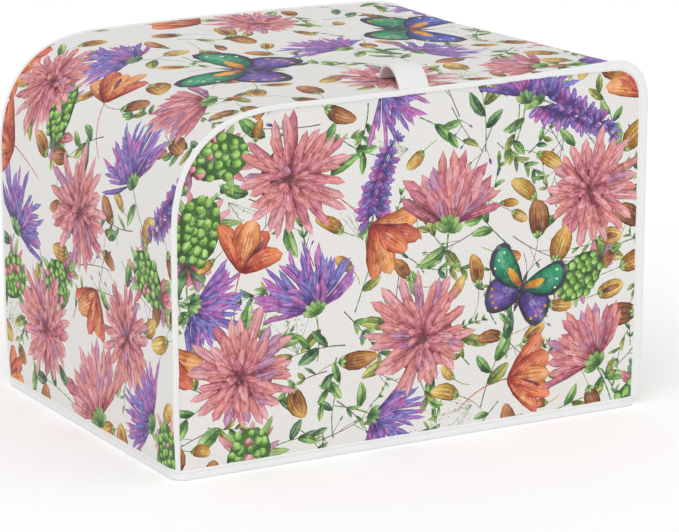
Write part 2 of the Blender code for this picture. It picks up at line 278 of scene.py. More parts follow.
class Print:
    """Brush-stroke shapes on a flat pattern, in painter's order."""

    def __init__(self, seed):
        self.rnd = random.Random(seed)
        self.shapes = []
        self.layers = {}

    def add(self, layer, x, y, angle, length, width, colours, bend=0.0, m=1.0, e=0.5, ridges=0.0,
            ink=0.7, n=6, ragged=0.05):
        """One stroke from x, y along angle; its half width follows
        (4 s^m (1 - s^m))^e, and it leans sideways by bend."""
        rnd = self.rnd
        n = n if n < 6 else n - 2
        c, s_ = math.cos(angle), math.sin(angle)
        if e == 0:
            ring = [(0, -1), (1, -1), (1, 1), (0, 1)]
        else:
            ring = [(0.0, 0.0)]
            for side in (-1, 1):
                rows = []
                for j in range(1, n):
                    s = 0.5 - 0.5 * math.cos(math.pi * j / n)
                    sm = s ** m
                    f = (4 * sm * (1 - sm)) ** e * (1 + rnd.uniform(-ragged, ragged))
                    rows.append((s, side * f + bend * 4 * s * (1 - s)))
                ring += rows if side < 0 else [(1.0, 0.0)] + rows[::-1]
        pts = [(x + c * length * s - s_ * width * q, y + s_ * length * s + c * width * q) for s, q in ring]
        c0, c1 = (lin(*v) for v in colours)
        g = rnd.uniform(0.90, 1.08)
        shape = dict(pts=pts, o=(x, y), d=(c, s_), L=length, W=width, bend=bend, m=m, e=e, ridges=ridges,
                     c0=tuple(v * g for v in c0) + (ink,), c1=tuple(v * g for v in c1) + (rnd.random(),))
        self.layers.setdefault(layer, []).append(shape)

    def stem(self, layer, pts, w0, w1, colours, ink=0.3):
        """A thin line through the points, tapering from w0 to w1 (half widths)."""
        k = len(pts) - 1
        for i in range(k):
            (x0, y0), (x1, y1) = pts[i], pts[i + 1]
            L = math.hypot(x1 - x0, y1 - y0)
            if L < 1e-6:
                continue
            w = w0 + (w1 - w0) * (i + 0.5) / k
            a = math.atan2(y1 - y0, x1 - x0)
            self.add(layer, x0 - math.cos(a) * w * 0.5, y0 - math.sin(a) * w * 0.5, a, L + w, w, colours, e=0, ink=ink)

    def curve(self, x, y, a, length, turn, k=7):
        pts = [(x, y)]
        for i in range(k):
            a += turn / k
            x += math.cos(a) * length / k
            y += math.sin(a) * length / k
            pts.append((x, y))
        return pts, a

    # ---- motifs ------------------------------------------------------------
    def leaf(self, x, y, L, rot, layer=2):
        """A two-tone leaf: a broad stroke and a darker half laid over it."""
        r = self.rnd
        w, b, side = L * r.uniform(0.17, 0.24), r.uniform(-0.5, 0.5), r.choice([-1, 1])
        light, dark = r.choice(LEAVES)
        self.add(layer, x, y, rot, L, w, light, bend=b, m=0.9, e=0.78, ridges=1, ink=0.8, n=7)
        self.add(layer, x, y, rot, L * 0.97, w * 0.5, dark, bend=2 * b + side * 0.95, m=0.9, e=0.85, ridges=0.6, ink=0.7, n=7)

    def tuck(self, x, y, R, n=4, big=0.55):
        """Leaves that peep out from under a bloom."""
        r = self.rnd
        a = r.uniform(0, 6.28)
        for i in range(n):
            a += 6.28 / n + r.uniform(-0.5, 0.5)
            d = R * r.uniform(0.62, 0.88)
            self.leaf(x + math.cos(a) * d, y + math.sin(a) * d, R * big * r.uniform(0.75, 1.2), a + r.uniform(-0.6, 0.6), 1)

    def dahlia(self, x, y, R, rot):
        """A round many-petalled bloom seen face on, its rings a little off centre."""
        r = self.rnd
        look = rot + r.uniform(-0.5, 0.5)
        self.tuck(x, y, R, 5, 0.52)
        rings = [(20, 1.00, 0.098, 0.14), (18, 0.82, 0.094, 0.09), (15, 0.64, 0.090, 0.05), (11, 0.46, 0.082, 0.03), (8, 0.28, 0.066, 0.0)]
        for k, (count, reach, wid, start) in enumerate(rings):
            q = 0.56 * reach * R
            self.add(5, x - q, y, 0.0, 2 * q, q, SHADE, e=0.5, ink=0.1, n=8)
            for i in range(count):
                a = rot + 2 * math.pi * (i + 0.5 * (k % 2) + r.uniform(-0.26, 0.26)) / count
                out = reach * R * (1 + 0.13 * math.cos(a - look)) * r.uniform(0.86, 1.08)
                s0 = start * R
                col = PINKS[r.randrange(5) if r.random() < 0.5 else (0 if k > 2 else 1 if k == 0 else 3)]
                self.add(5, x + math.cos(a) * s0, y + math.sin(a) * s0, a + r.uniform(-0.13, 0.13), out - s0,
                         wid * R * r.uniform(0.75, 1.12), col, bend=r.uniform(-0.7, 0.7), m=r.uniform(1.1, 1.9),
                         e=r.uniform(0.5, 0.78), ridges=r.choice([1, 2, 3]), ink=1.0, n=6)
        for i in range(4):
            a = r.uniform(0, 6.28)
            self.add(5, x + math.cos(a) * R * 0.02, y + math.sin(a) * R * 0.02, a, R * 0.10, R * 0.03, SHADE, e=0.5, ink=0.8, n=4)

    def side_bloom(self, x, y, R, rot):
        """A full bloom seen from the side: petals fan up from a green cup."""
        r = self.rnd
        self.stem(1, self.curve(x, y, rot + math.pi, R * 0.9, r.uniform(-0.6, 0.6))[0], 0.55, 0.4, GREENS[0])
        self.leaf(x - math.cos(rot) * R * 0.3, y - math.sin(rot) * R * 0.3, R * 0.5, rot + 2.2)
        self.leaf(x - math.cos(rot) * R * 0.35, y - math.sin(rot) * R * 0.35, R * 0.45, rot - 2.3)
        for k, (count, reach, wid, fan) in enumerate([(14, 1.0, 0.088, 1.30), (13, 0.84, 0.086, 1.10), (11, 0.66, 0.082, 0.92), (8, 0.46, 0.074, 0.72)]):
            self.add(5, x, y, rot, reach * R * 0.72, reach * R * 0.40, SHADE, m=1.2, e=0.5, ink=0.1, n=8)
            for i in range(count):
                a = rot + fan * (2 * (i + 0.5 + r.uniform(-0.25, 0.25)) / count - 1)
                col = PINKS[r.randrange(5)]
                self.add(5, x, y, a, reach * R * r.uniform(0.84, 1.08), wid * R * r.uniform(0.8, 1.12), col,
                         bend=r.uniform(-0.8, 0.8), m=r.uniform(1.3, 2.1), e=r.uniform(0.48, 0.75), ridges=r.choice([1, 2, 3]), ink=1.0, n=6)
        for i in range(5):
            a = rot + (i - 2) * 0.55
            self.add(5, x - math.cos(rot) * R * 0.10, y - math.sin(rot) * R * 0.10, a, R * 0.26, R * 0.07, GREENS[r.randrange(2)], e=0.6, ridges=1, n=5)

    def feather(self, x, y, L, rot):
        """A ragged violet bloom: many thin strokes fanning from a small cup."""
        r = self.rnd
        self.stem(1, self.curve(x, y, rot + math.pi, L * 0.5, r.uniform(-0.5, 0.5), 5)[0], 0.5, 0.35, GREENS[0])
        self.leaf(x - math.cos(rot) * L * 0.2, y - math.sin(rot) * L * 0.2, L * 0.30, rot + 2.0)
        for count, reach, fan in ((19, 1.0, 1.40), (17, 0.84, 1.20), (14, 0.64, 1.0), (10, 0.44, 0.8)):
            for i in range(count):
                a = rot + fan * (2 * (i + 0.5 + r.uniform(-0.5, 0.5)) / count - 1)
                s0 = L * 0.02
                self.add(4, x + math.cos(a) * s0, y + math.sin(a) * s0, a, reach * L * 0.64 * r.uniform(0.74, 1.12), L * r.uniform(0.024, 0.040),
                         VIOLETS[r.randrange(4)], bend=r.uniform(-2.0, 2.0), m=r.uniform(1.3, 2.2), e=r.uniform(0.5, 0.85), ridges=r.choice([0.6, 1, 2]), ink=1.0, n=6)
        for i in range(5):
            a = rot + (i - 2) * 0.5
            self.add(4, x - math.cos(rot) * L * 0.05, y - math.sin(rot) * L * 0.05, a, L * 0.15, L * 0.035, GREENS[r.randrange(3)], e=0.6, ridges=1, n=5)

    def larkspur(self, x, y, L, rot):
        """A spray of violet florets crowded along a bent stem."""
        r = self.rnd
        pts, _ = self.curve(x, y, rot, L, r.uniform(-0.5, 0.5), 9)
        self.stem(1, self.curve(x, y, rot + math.pi, L * 0.35, r.uniform(-0.5, 0.5), 4)[0], 0.5, 0.35, GREENS[0])
        self.stem(3, pts, 0.5, 0.25, GREENS[2])
        for k, (px, py) in enumerate(pts):
            size = L * (0.235 - 0.013 * k)
            for j in range(2 if k < 8 else 1):
                side = (-1 if (k + j) % 2 else 1)
                a0 = rot + side * r.uniform(0.5, 1.2)
                bx, by = px + math.cos(a0) * size * 0.25, py + math.sin(a0) * size * 0.25
                for i in range(5):
                    a = a0 + (i - 2) * 0.62 + r.uniform(-0.2, 0.2)
                    self.add(4, bx, by, a, size * r.uniform(0.75, 1.1), size * 0.19, VIOLETS[r.randrange(4)],
                             bend=r.uniform(-0.5, 0.5), m=r.uniform(0.9, 1.5), e=r.uniform(0.5, 0.9), ridges=2, ink=0.85, n=5)
        for k in range(3):
            a = rot + math.pi + r.uniform(-1.0, 1.0)
            self.add(2, x, y, a, L * 0.28, L * 0.045, GREENS[r.randrange(3)], bend=r.uniform(-1, 1), e=0.8, ridges=1)

    def berry_head(self, x, y, L, rot):
        """An oval head of round green berries with leaves and pink bracts."""
        r = self.rnd
        c, s_ = math.cos(rot), math.sin(rot)
        self.stem(1, self.curve(x, y, rot + math.pi, L * 0.75, r.uniform(-0.5, 0.5))[0], 0.5, 0.35, GREENS[0])
        self.leaf(x - c * L * 0.1, y - s_ * L * 0.1, L * 0.42, rot + 2.3)
        self.leaf(x - c * L * 0.1, y - s_ * L * 0.1, L * 0.36, rot - 2.1)
        for i in range(8):
            a = rot + math.pi + (i - 3.5) * 0.40
            col = GREENS[r.randrange(3)] if i % 3 == 0 else PINKS[r.choice([0, 1, 4])]
            self.add(3, x, y, a, L * r.uniform(0.26, 0.48), L * 0.085, col, bend=r.uniform(-0.7, 0.7), e=0.6, ridges=1, ink=0.9, n=5)
        for i in range(8):
            a = rot + (i - 3.5) * 0.36 + r.uniform(-0.1, 0.1)
            q = L * 0.48
            self.add(3, x + c * q, y + s_ * q, a, L * r.uniform(0.46, 0.70), L * 0.066,
                     PINKS[r.choice([0, 1, 4])] if i % 3 else GREENS[1], bend=r.uniform(-0.7, 0.7), e=0.7, ridges=1, ink=0.9, n=5)
        self.add(4, x - c * L * 0.02, y - s_ * L * 0.02, rot, L * 0.96, L * 0.33, ((40, 78, 32), (64, 106, 46)), e=0.42, ink=0.2, n=8)
        rows = 7
        for j in range(rows):
            s = (j + 0.5) / rows
            half = 0.32 * math.sqrt(max(0.05, 1 - (2 * s - 0.95) ** 2))
            n = max(2, int(round(half * 2 / 0.120)))
            for i in range(n):
                q = (2 * (i + 0.5 * (1 + 0.3 * (j % 2))) / n - 1) * half * L
                b = L * 0.080 * r.uniform(0.78, 1.15)
                ju, jv = r.uniform(-0.45, 0.45) * b, r.uniform(-0.45, 0.45) * b
                px, py = x + c * (s * L * 0.92 + ju) - s_ * (q + jv), y + s_ * (s * L * 0.92 + ju) + c * (q + jv)
                self.add(4, px - c * b, py - s_ * b, rot + r.uniform(-0.4, 0.4), 2 * b, b * 0.86,
                         ((82, 136, 52), (166, 212, 106)) if r.random() < 0.9 else PINKS[1], e=0.5, ink=1.0, n=5)

    def hip(self, x, y, L, rot):
        """A golden ribbed seed pod on a thin stem with a small green cap."""
        r = self.rnd
        self.stem(1, self.curve(x, y, rot + math.pi, L * r.uniform(0.5, 1.3), r.uniform(-1, 1), 5)[0], 0.30, 0.2, GREENS[3])
        col = GOLDS[r.randrange(4)]
        w, b = L * r.uniform(0.20, 0.33), r.uniform(-0.3, 0.3)
        self.add(3, x, y, rot, L, w, col, bend=b, m=r.uniform(0.85, 1.1), e=r.uniform(0.5, 0.68), ridges=r.choice([3, 4, 5]), ink=1.0, n=8)
        if r.random() < 0.35:       # a split one shows its darker inside
            self.add(3, x + math.cos(rot) * L * 0.16, y + math.sin(rot) * L * 0.16, rot, L * 0.7, w * 0.36, ((120, 66, 34), (186, 118, 70)), bend=b * 2.2, e=0.6, ridges=1, ink=0.9, n=6)
        for k in range(3):
            self.add(3, x, y, rot + (k - 1) * 0.7, L * 0.20, L * 0.05, GREENS[1], e=0.6, n=4)

    def leafy(self, x, y, L, rot):
        """A stem with a few broad leaves."""
        r = self.rnd
        pts, _ = self.curve(x, y, rot, L, r.uniform(-0.7, 0.7), 6)
        self.stem(1, pts, 0.42, 0.25, GREENS[r.choice([0, 2])])
        for k, side in ((2, -1), (3, 1), (4, -1), (5, 1), (6, 0)):
            if side and r.random() < 0.25:
                continue
            px, py = pts[k]
            self.leaf(px, py, L * r.uniform(0.36, 0.50), rot + side * r.uniform(0.45, 0.9) + r.uniform(-0.15, 0.15))

    def poppy(self, x, y, R, rot):
        """An orange-red cupped flower, five broad petals and a few narrow ones."""
        r = self.rnd
        self.stem(1, self.curve(x, y, rot + math.pi, R * 1.2, r.uniform(-0.8, 0.8))[0], 0.4, 0.3, REDS[1])
        for i, a in enumerate([-0.85, 0.85, -0.42, 0.42, 0.0]):
            self.add(4, x, y, rot + a + r.uniform(-0.1, 0.1), R * r.uniform(0.9, 1.1), R * r.uniform(0.20, 0.26), REDS[r.randrange(3)],
                     bend=-a * 0.5, m=r.uniform(1.0, 1.4), e=r.uniform(0.5, 0.7), ridges=r.choice([4, 5, 6]), ink=1.0, n=7)
        for i in range(7):
            self.add(4, x, y, rot + r.uniform(-0.75, 0.75), R * r.uniform(0.45, 0.85), R * 0.06, REDS[r.randrange(3)] if i else SHADE, bend=r.uniform(-1, 1), m=1.3, e=0.7, ridges=1, ink=1.0, n=6)

    def sprig(self, x, y, L, rot, colours=None, pairs=4):
        r = self.rnd
        pts, _ = self.curve(x, y, rot, L, r.uniform(-0.9, 0.9), 8)
        self.stem(1, pts, 0.35, 0.2, TWIG if r.random() < 0.4 else GREENS[0])
        for k in range(1, pairs + 1):
            px, py = pts[min(8, int(k * 8 / pairs))]
            for side in (-1, 1):
                if r.random() < 0.22:
                    continue
                col = colours or GREENS[r.randrange(4)]
                self.add(2, px, py, rot + side * r.uniform(0.35, 0.85), L * r.uniform(0.22, 0.36), L * r.uniform(0.04, 0.062), col,
                         bend=side * r.uniform(-0.9, 0.3), m=r.uniform(0.8, 1.1), e=r.uniform(0.6, 0.9), ridges=r.choice([1, 1, 3]), ink=0.75)

    def twig(self, x, y, L, rot):
        r = self.rnd
        pts, _ = self.curve(x, y, rot, L, r.uniform(-0.5, 0.5), 7)
        self.stem(0, pts, 0.32, 0.16, TWIG, ink=0.1)
        for k in (2, 3, 5, 6):
            a = rot + r.choice([-1, 1]) * r.uniform(0.4, 0.9)
            q, end = self.curve(pts[k][0], pts[k][1], a, L * r.uniform(0.16, 0.3), r.uniform(-0.5, 0.5), 3)
            self.stem(0, q, 0.2, 0.12, TWIG, ink=0.1)
            self.add(2, q[-1][0], q[-1][1], end, L * 0.10, L * 0.022, SAGE if r.random() < 0.6 else VIOLETS[0], e=0.6, n=4)

    def lace(self, x, y, R, rot):
        """A cloud of tiny pale green and straw strokes on hair-thin stems."""
        r = self.rnd
        for i in range(6):
            a = rot + (i - 2.5) * 0.24
            pts, end = self.curve(x, y, a, R * r.uniform(0.75, 1.0), r.uniform(-0.3, 0.3), 4)
            self.stem(0, pts, 0.17, 0.12, SAGE, ink=0.1)
            for k in range(9):
                j = r.choice([1, 2, 3, 4, 4])
                b = r.uniform(0, 6.28)
                d = r.uniform(0, R * 0.16)
                self.add(1, pts[j][0] + math.cos(b) * d, pts[j][1] + math.sin(b) * d, r.uniform(0, 6.28), R * r.uniform(0.035, 0.07), R * 0.014,
                         r.choice([SAGE, GREENS[3], ((196, 190, 120), (222, 216, 160)), GREENS[1]]), e=0.5, n=3, ink=0.3)

    def butterfly(self, x, y, S, rot, scheme=0):
        """A butterfly with shimmering emerald and violet wings."""
        r = self.rnd
        green = ((8, 92, 78), (36, 160, 112))
        blue = ((44, 52, 136), (84, 96, 190))
        vio = ((66, 40, 120), (112, 84, 176))
        amber = ((176, 96, 20), (236, 168, 48))
        dark = ((26, 26, 40), (60, 58, 84))
        sets = [(green, vio, amber), (blue, green, amber), (amber, green, vio)]
        fore, hind, spot = sets[scheme]
        for side in (-1, 1):
            a = rot + side * 1.28
            self.add(6, x - math.cos(rot) * S * .02, y - math.sin(rot) * S * .02, rot + side * 2.05, S * 0.46, S * 0.20, dark, bend=side * -.25, m=1.3, e=0.45, ink=0.3, n=9)
            self.add(6, x, y, rot + side * 2.05, S * 0.41, S * 0.165, hind, bend=side * -.25, m=1.3, e=0.45, ridges=6, ink=0.55, n=9)
            self.add(6, x + math.cos(rot) * S * .05, y + math.sin(rot) * S * .05, rot + side * 0.95, S * 0.60, S * 0.17, dark, bend=side * .35, m=1.55, e=0.42, ink=0.3, n=9)
            self.add(6, x + math.cos(rot) * S * .05, y + math.sin(rot) * S * .05, rot + side * 0.95, S * 0.545, S * 0.135, fore, bend=side * .35, m=1.5, e=0.44, ridges=7, ink=0.55, n=9)
            self.add(6, x + math.cos(rot) * S * .05, y + math.sin(rot) * S * .05, rot + side * 1.02, S * 0.30, S * 0.05, spot, bend=side * .2, m=1.2, e=0.6, ridges=2, ink=0.4, n=6)
            for k in range(4):
                b = rot + side * (0.62 + 0.2 * k)
                q = S * (0.52 - 0.03 * k)
                self.add(6, x + math.cos(b) * q, y + math.sin(b) * q, b, S * 0.035, S * 0.013, ((220, 226, 214), (244, 240, 226)), e=0.5, n=3, ink=0.1)
                b = rot + side * (1.75 + 0.2 * k)
                q = S * (0.35 - 0.01 * k)
                self.add(6, x + math.cos(b) * q, y + math.sin(b) * q, b, S * 0.045, S * 0.02, amber, e=0.5, n=4, ink=0.4)
            pts, _ = self.curve(x + math.cos(rot) * S * .2, y + math.sin(rot) * S * .2, rot + side * 0.25, S * 0.24, side * 0.5, 5)
            self.stem(6, pts, 0.16, 0.22, dark, ink=0.1)
        self.add(7, x - math.cos(rot) * S * 0.24, y - math.sin(rot) * S * 0.24, rot, S * 0.48, S * 0.030, dark, e=0.4, ridges=2, ink=0.5, n=6)

    def finish(self):
        self.shapes = [s for k in sorted(self.layers) for s in self.layers[k]]
        return self.shapes


def lay_out(seed, size, heroes, counts):
    """Fills a flat pattern of size (mm). heroes are placed where listed; the rest
    are thrown in where they fit, big ones first."""
    p = Print(seed)
    r = p.rnd
    w, h = size
    taken = []
    draw = {
        "dahlia": (p.dahlia, 0.86), "side": (p.side_bloom, 0.60), "larkspur": (p.larkspur, 0.40), "berry": (p.berry_head, 0.42),
        "poppy": (p.poppy, 0.55), "hip": (p.hip, 0.46), "sprig": (p.sprig, 0.34), "twig": (p.twig, 0.26),
        "lace": (p.lace, 0.45), "butterfly": (p.butterfly, 0.46), "feather": (p.feather, 0.46), "leafy": (p.leafy, 0.44),
    }
    shift = {"dahlia": 0.0, "butterfly": 0.0, "feather": 0.30}

    def centre(kind, x, y, L, rot):
        k = shift.get(kind, 0.45)
        return x + math.cos(rot) * L * k, y + math.sin(rot) * L * k

    def put(kind, x, y, L, rot, *more):
        fn, hold = draw[kind]
        fn(x, y, L, rot, *more)
        taken.append((*centre(kind, x, y, L, rot), L * hold))

    for row in heroes:
        put(*row)
    for kind, number, low, high, squeeze in counts:
        done = tries = 0
        while done < number and tries < 1500:
            tries += 1
            L, rot = r.uniform(low, high), r.uniform(0, 2 * math.pi)
            cx, cy = r.uniform(-6, w + 6), r.uniform(-6, h + 6)
            k = shift.get(kind, 0.45)
            x, y = cx - math.cos(rot) * L * k, cy - math.sin(rot) * L * k
            rad = L * draw[kind][1]
            if all((cx - tx) ** 2 + (cy - ty) ** 2 > ((rad + tr) * squeeze) ** 2 for tx, ty, tr in taken):
                put(kind, x, y, L, rot)
                done += 1
    return p.finish()


# ---------------------------------------------------------------- cutting the pattern
def inside_points(points, poly):
    """Which points lie inside the closed polygon."""
    x, y = points[:, 0], points[:, 1]
    inside = np.zeros(len(points), bool)
    n = len(poly)
    for i in range(n):
        x0, y0 = poly[i]
        x1, y1 = poly[(i + 1) % n]
        if y0 == y1:
            continue
        hit = ((y0 > y) != (y1 > y)) & (x < (x1 - x0) * (y - y0) / (y1 - y0) + x0)
        inside ^= hit
    return inside


def cut_pattern(outline, shapes, step, cuts=()):
    """Cuts the flat outline along every shape. Returns the points, the
    triangles, the top shape of each (0 is bare cloth), and the rim in order."""
    outline = [tuple(map(float, p)) for p in outline]
    verts = [Vector(p) for p in outline]
    faces = [list(range(len(outline)))]
    edges = []
    for s in shapes:
        k = len(verts)
        verts += [Vector(p) for p in s["pts"]]
        faces.append(list(range(k, k + len(s["pts"]))))
    for a, b in cuts:
        k = len(verts)
        verts += [Vector(a), Vector(b)]
        edges.append((k, k + 1))
    poly = np.array(outline)
    lo, hi = poly.min(0), poly.max(0)
    gx, gy = np.meshgrid(np.arange(lo[0] + step / 2, hi[0], step), np.arange(lo[1] + step / 2, hi[1], step))
    gx[1::2] += step / 2
    pts = np.stack([gx.ravel(), gy.ravel()], 1)
    pts = pts[inside_points(pts, outline)]
    verts += [Vector(p) for p in pts.tolist()]
    out = delaunay_2d_cdt(verts, edges, faces, 1, 1e-4, True)
    V = np.array([v[:] for v in out[0]])
    tris, top = [], []
    for f, ids in zip(out[2], out[5]):
        if 0 in ids:
            tris.append(f)
            top.append(max(ids))
    T, top = np.array(tris), np.array(top)
    a, b, c = V[T[:, 0]], V[T[:, 1]], V[T[:, 2]]
    area = (b[:, 0] - a[:, 0]) * (c[:, 1] - a[:, 1]) - (b[:, 1] - a[:, 1]) * (c[:, 0] - a[:, 0])
    T[area < 0] = T[area < 0][:, ::-1]
    used = np.unique(T)
    new = np.full(len(V), -1)
    new[used] = np.arange(len(used))
    V, T = V[used], new[T]
    count = {}
    for t in T.tolist():
        for i in range(3):
            e = (t[i], t[(i + 1) % 3])
            if (e[1], e[0]) in count:
                count.pop((e[1], e[0]))
            else:
                count[e] = 1
    follow = dict(count.keys())
    start = next(iter(follow))
    rim, k = [start], follow[start]
    while k != start and len(rim) <= len(follow):
        rim.append(k)
        k = follow[k]
    return V, T, top, rim


def lining_side(V, rim, step):
    """A coarser cut of the same outline for the cloth's inner face."""
    ring = V[rim]
    verts = [Vector(p) for p in ring.tolist()]
    lo, hi = ring.min(0), ring.max(0)
    gx, gy = np.meshgrid(np.arange(lo[0] + step / 2, hi[0], step), np.arange(lo[1] + step / 2, hi[1], step))
    gx[1::2] += step / 2
    pts = np.stack([gx.ravel(), gy.ravel()], 1)
    # keep the points inside the rim
    keep = inside_points(pts, ring.tolist())
    pts = pts[keep]
    verts += [Vector(p) for p in pts.tolist()]
    out = delaunay_2d_cdt(verts, [], [list(range(len(ring)))], 1, 1e-6, True)
    V2 = np.array([v[:] for v in out[0]])
    T2 = np.array([f for f, ids in zip(out[2], out[5]) if 0 in ids])
    where = {}
    for i, src in enumerate(out[3]):
        for j in src:
            where[j] = i
    return V2, T2, [where[i] for i in range(len(ring))]


def cloth_piece(name, outline, shapes, step, shape, bake, cuts=()):
    """A printed cloth piece: outer face cut along its print, plain inner face
    and a closed rim. shape(points_mm, inner) gives places and normals."""
    V, T, top, rim = cut_pattern(outline, shapes, step, cuts)
    V2, T2, rim2 = lining_side(V, rim, 7.5)
    P, N = shape(V, False)
    P2, N2 = shape(V2, True)
    nv = len(V)
    quads_a, quads_b = [], []
    n = len(rim)
    for i in range(n):
        a, b = rim[i], rim[(i + 1) % n]
        c, d = rim2[i] + nv, rim2[(i + 1) % n] + nv
        quads_a.append((b, a, c))
        quads_b.append((b, c, d))
    rimT = np.array(quads_a + quads_b)
    inner = T2[:, ::-1] + nv
    allT = np.concatenate([T, inner, rimT])
    allP = np.concatenate([P, P2])
    # flip everything if the outer face points inwards
    a, b, c = P[T[:, 0]], P[T[:, 1]], P[T[:, 2]]
    fn = np.cross(b - a, c - a)
    if (fn * N[T[:, 0]]).sum() < 0:
        allT = allT[:, ::-1]
        flip = True
    else:
        flip = False
    me = bpy.data.meshes.new(name)
    me.vertices.add(len(allP))
    me.vertices.foreach_set("co", allP.astype(np.float32).ravel())
    me.loops.add(len(allT) * 3)
    me.loops.foreach_set("vertex_index", allT.astype(np.int32).ravel())
    me.polygons.add(len(allT))
    me.polygons.foreach_set("loop_start", np.arange(0, len(allT) * 3, 3, dtype=np.int32))
    me.update(calc_edges=True)
    me.validate(clean_customdata=False)
    me.shade_smooth()
    # the print's own values at every corner
    S = [dict(o=(0, 0), d=(1, 0), L=1.0, W=1.0, bend=0, m=1, e=1, ridges=-1, c0=(0.8, 0.8, 0.8, 0), c1=(0.8, 0.8, 0.8, 0))] + shapes
    O, D = np.array([s["o"] for s in S], float), np.array([s["d"] for s in S], float)
    LW = np.array([(s["L"], s["W"]) for s in S], float)
    K = np.array([(s["bend"], s["m"], s["e"], s["ridges"]) for s in S], float)
    C0, C1 = np.array([s["c0"] for s in S], float), np.array([s["c1"] for s in S], float)
    TT = T[:, ::-1] if flip else T
    rel = V[TT] - O[top][:, None, :]
    d = D[top][:, None, :]
    s = (rel * d).sum(2) / LW[top, 0][:, None]
    q = (-rel[..., 0] * d[..., 1] + rel[..., 1] * d[..., 0]) / LW[top, 1][:, None]
    extra = len(allT) - len(T)

    def corner(kind, key, values, plain):
        at = me.attributes.new(key, kind, "CORNER")
        rest = np.tile(np.array(plain, float), (extra * 3, 1))
        full = np.concatenate([values.reshape(-1, values.shape[-1]), rest]).astype(np.float32)
        at.data.foreach_set("vector" if kind == "FLOAT_VECTOR" else "color", full.ravel())

    one = np.ones((len(T), 3))
    corner("FLOAT_VECTOR", "pa", np.stack([s, q, one * K[top, 0][:, None]], 2), (0, 0, 0))
    corner("FLOAT_VECTOR", "pb", np.stack([one * K[top, 1][:, None], one * K[top, 2][:, None], one * K[top, 3][:, None]], 2), (1, 1, -1))
    corner("FLOAT_COLOR", "pc0", np.repeat(C0[top][:, None, :], 3, 1), (0.8, 0.8, 0.8, 0))
    corner("FLOAT_COLOR", "pc1", np.repeat(C1[top][:, None, :], 3, 1), (0.8, 0.8, 0.8, 0))
    pm = me.attributes.new("pm", "FLOAT_VECTOR", "POINT")
    flat = np.concatenate([np.c_[V, np.zeros(len(V))], np.c_[V2, np.ones(len(V2))]])
    pm.data.foreach_set("vector", flat.astype(np.float32).ravel())
    # the layout for baking: outer face large, inner face small
    uv = me.uv_layers.new(name="OFBake")
    corners = allT.ravel()
    cen = np.repeat(flat[allT][:, :, :2].mean(1), 3, axis=0)
    is_in = np.repeat((flat[allT][:, :, 2].max(1) > 0), 3)
    uvs = bake(flat[corners][:, :2], cen, is_in)
    uv.data.foreach_set("uv", uvs.astype(np.float32).ravel())
    me.normals_split_custom_set_from_vertices(np.concatenate([N, N2]).astype(np.float32).tolist())
    ob = bpy.data.objects.new(name, me)
    bpy.context.scene.collection.objects.link(ob)
    return ob


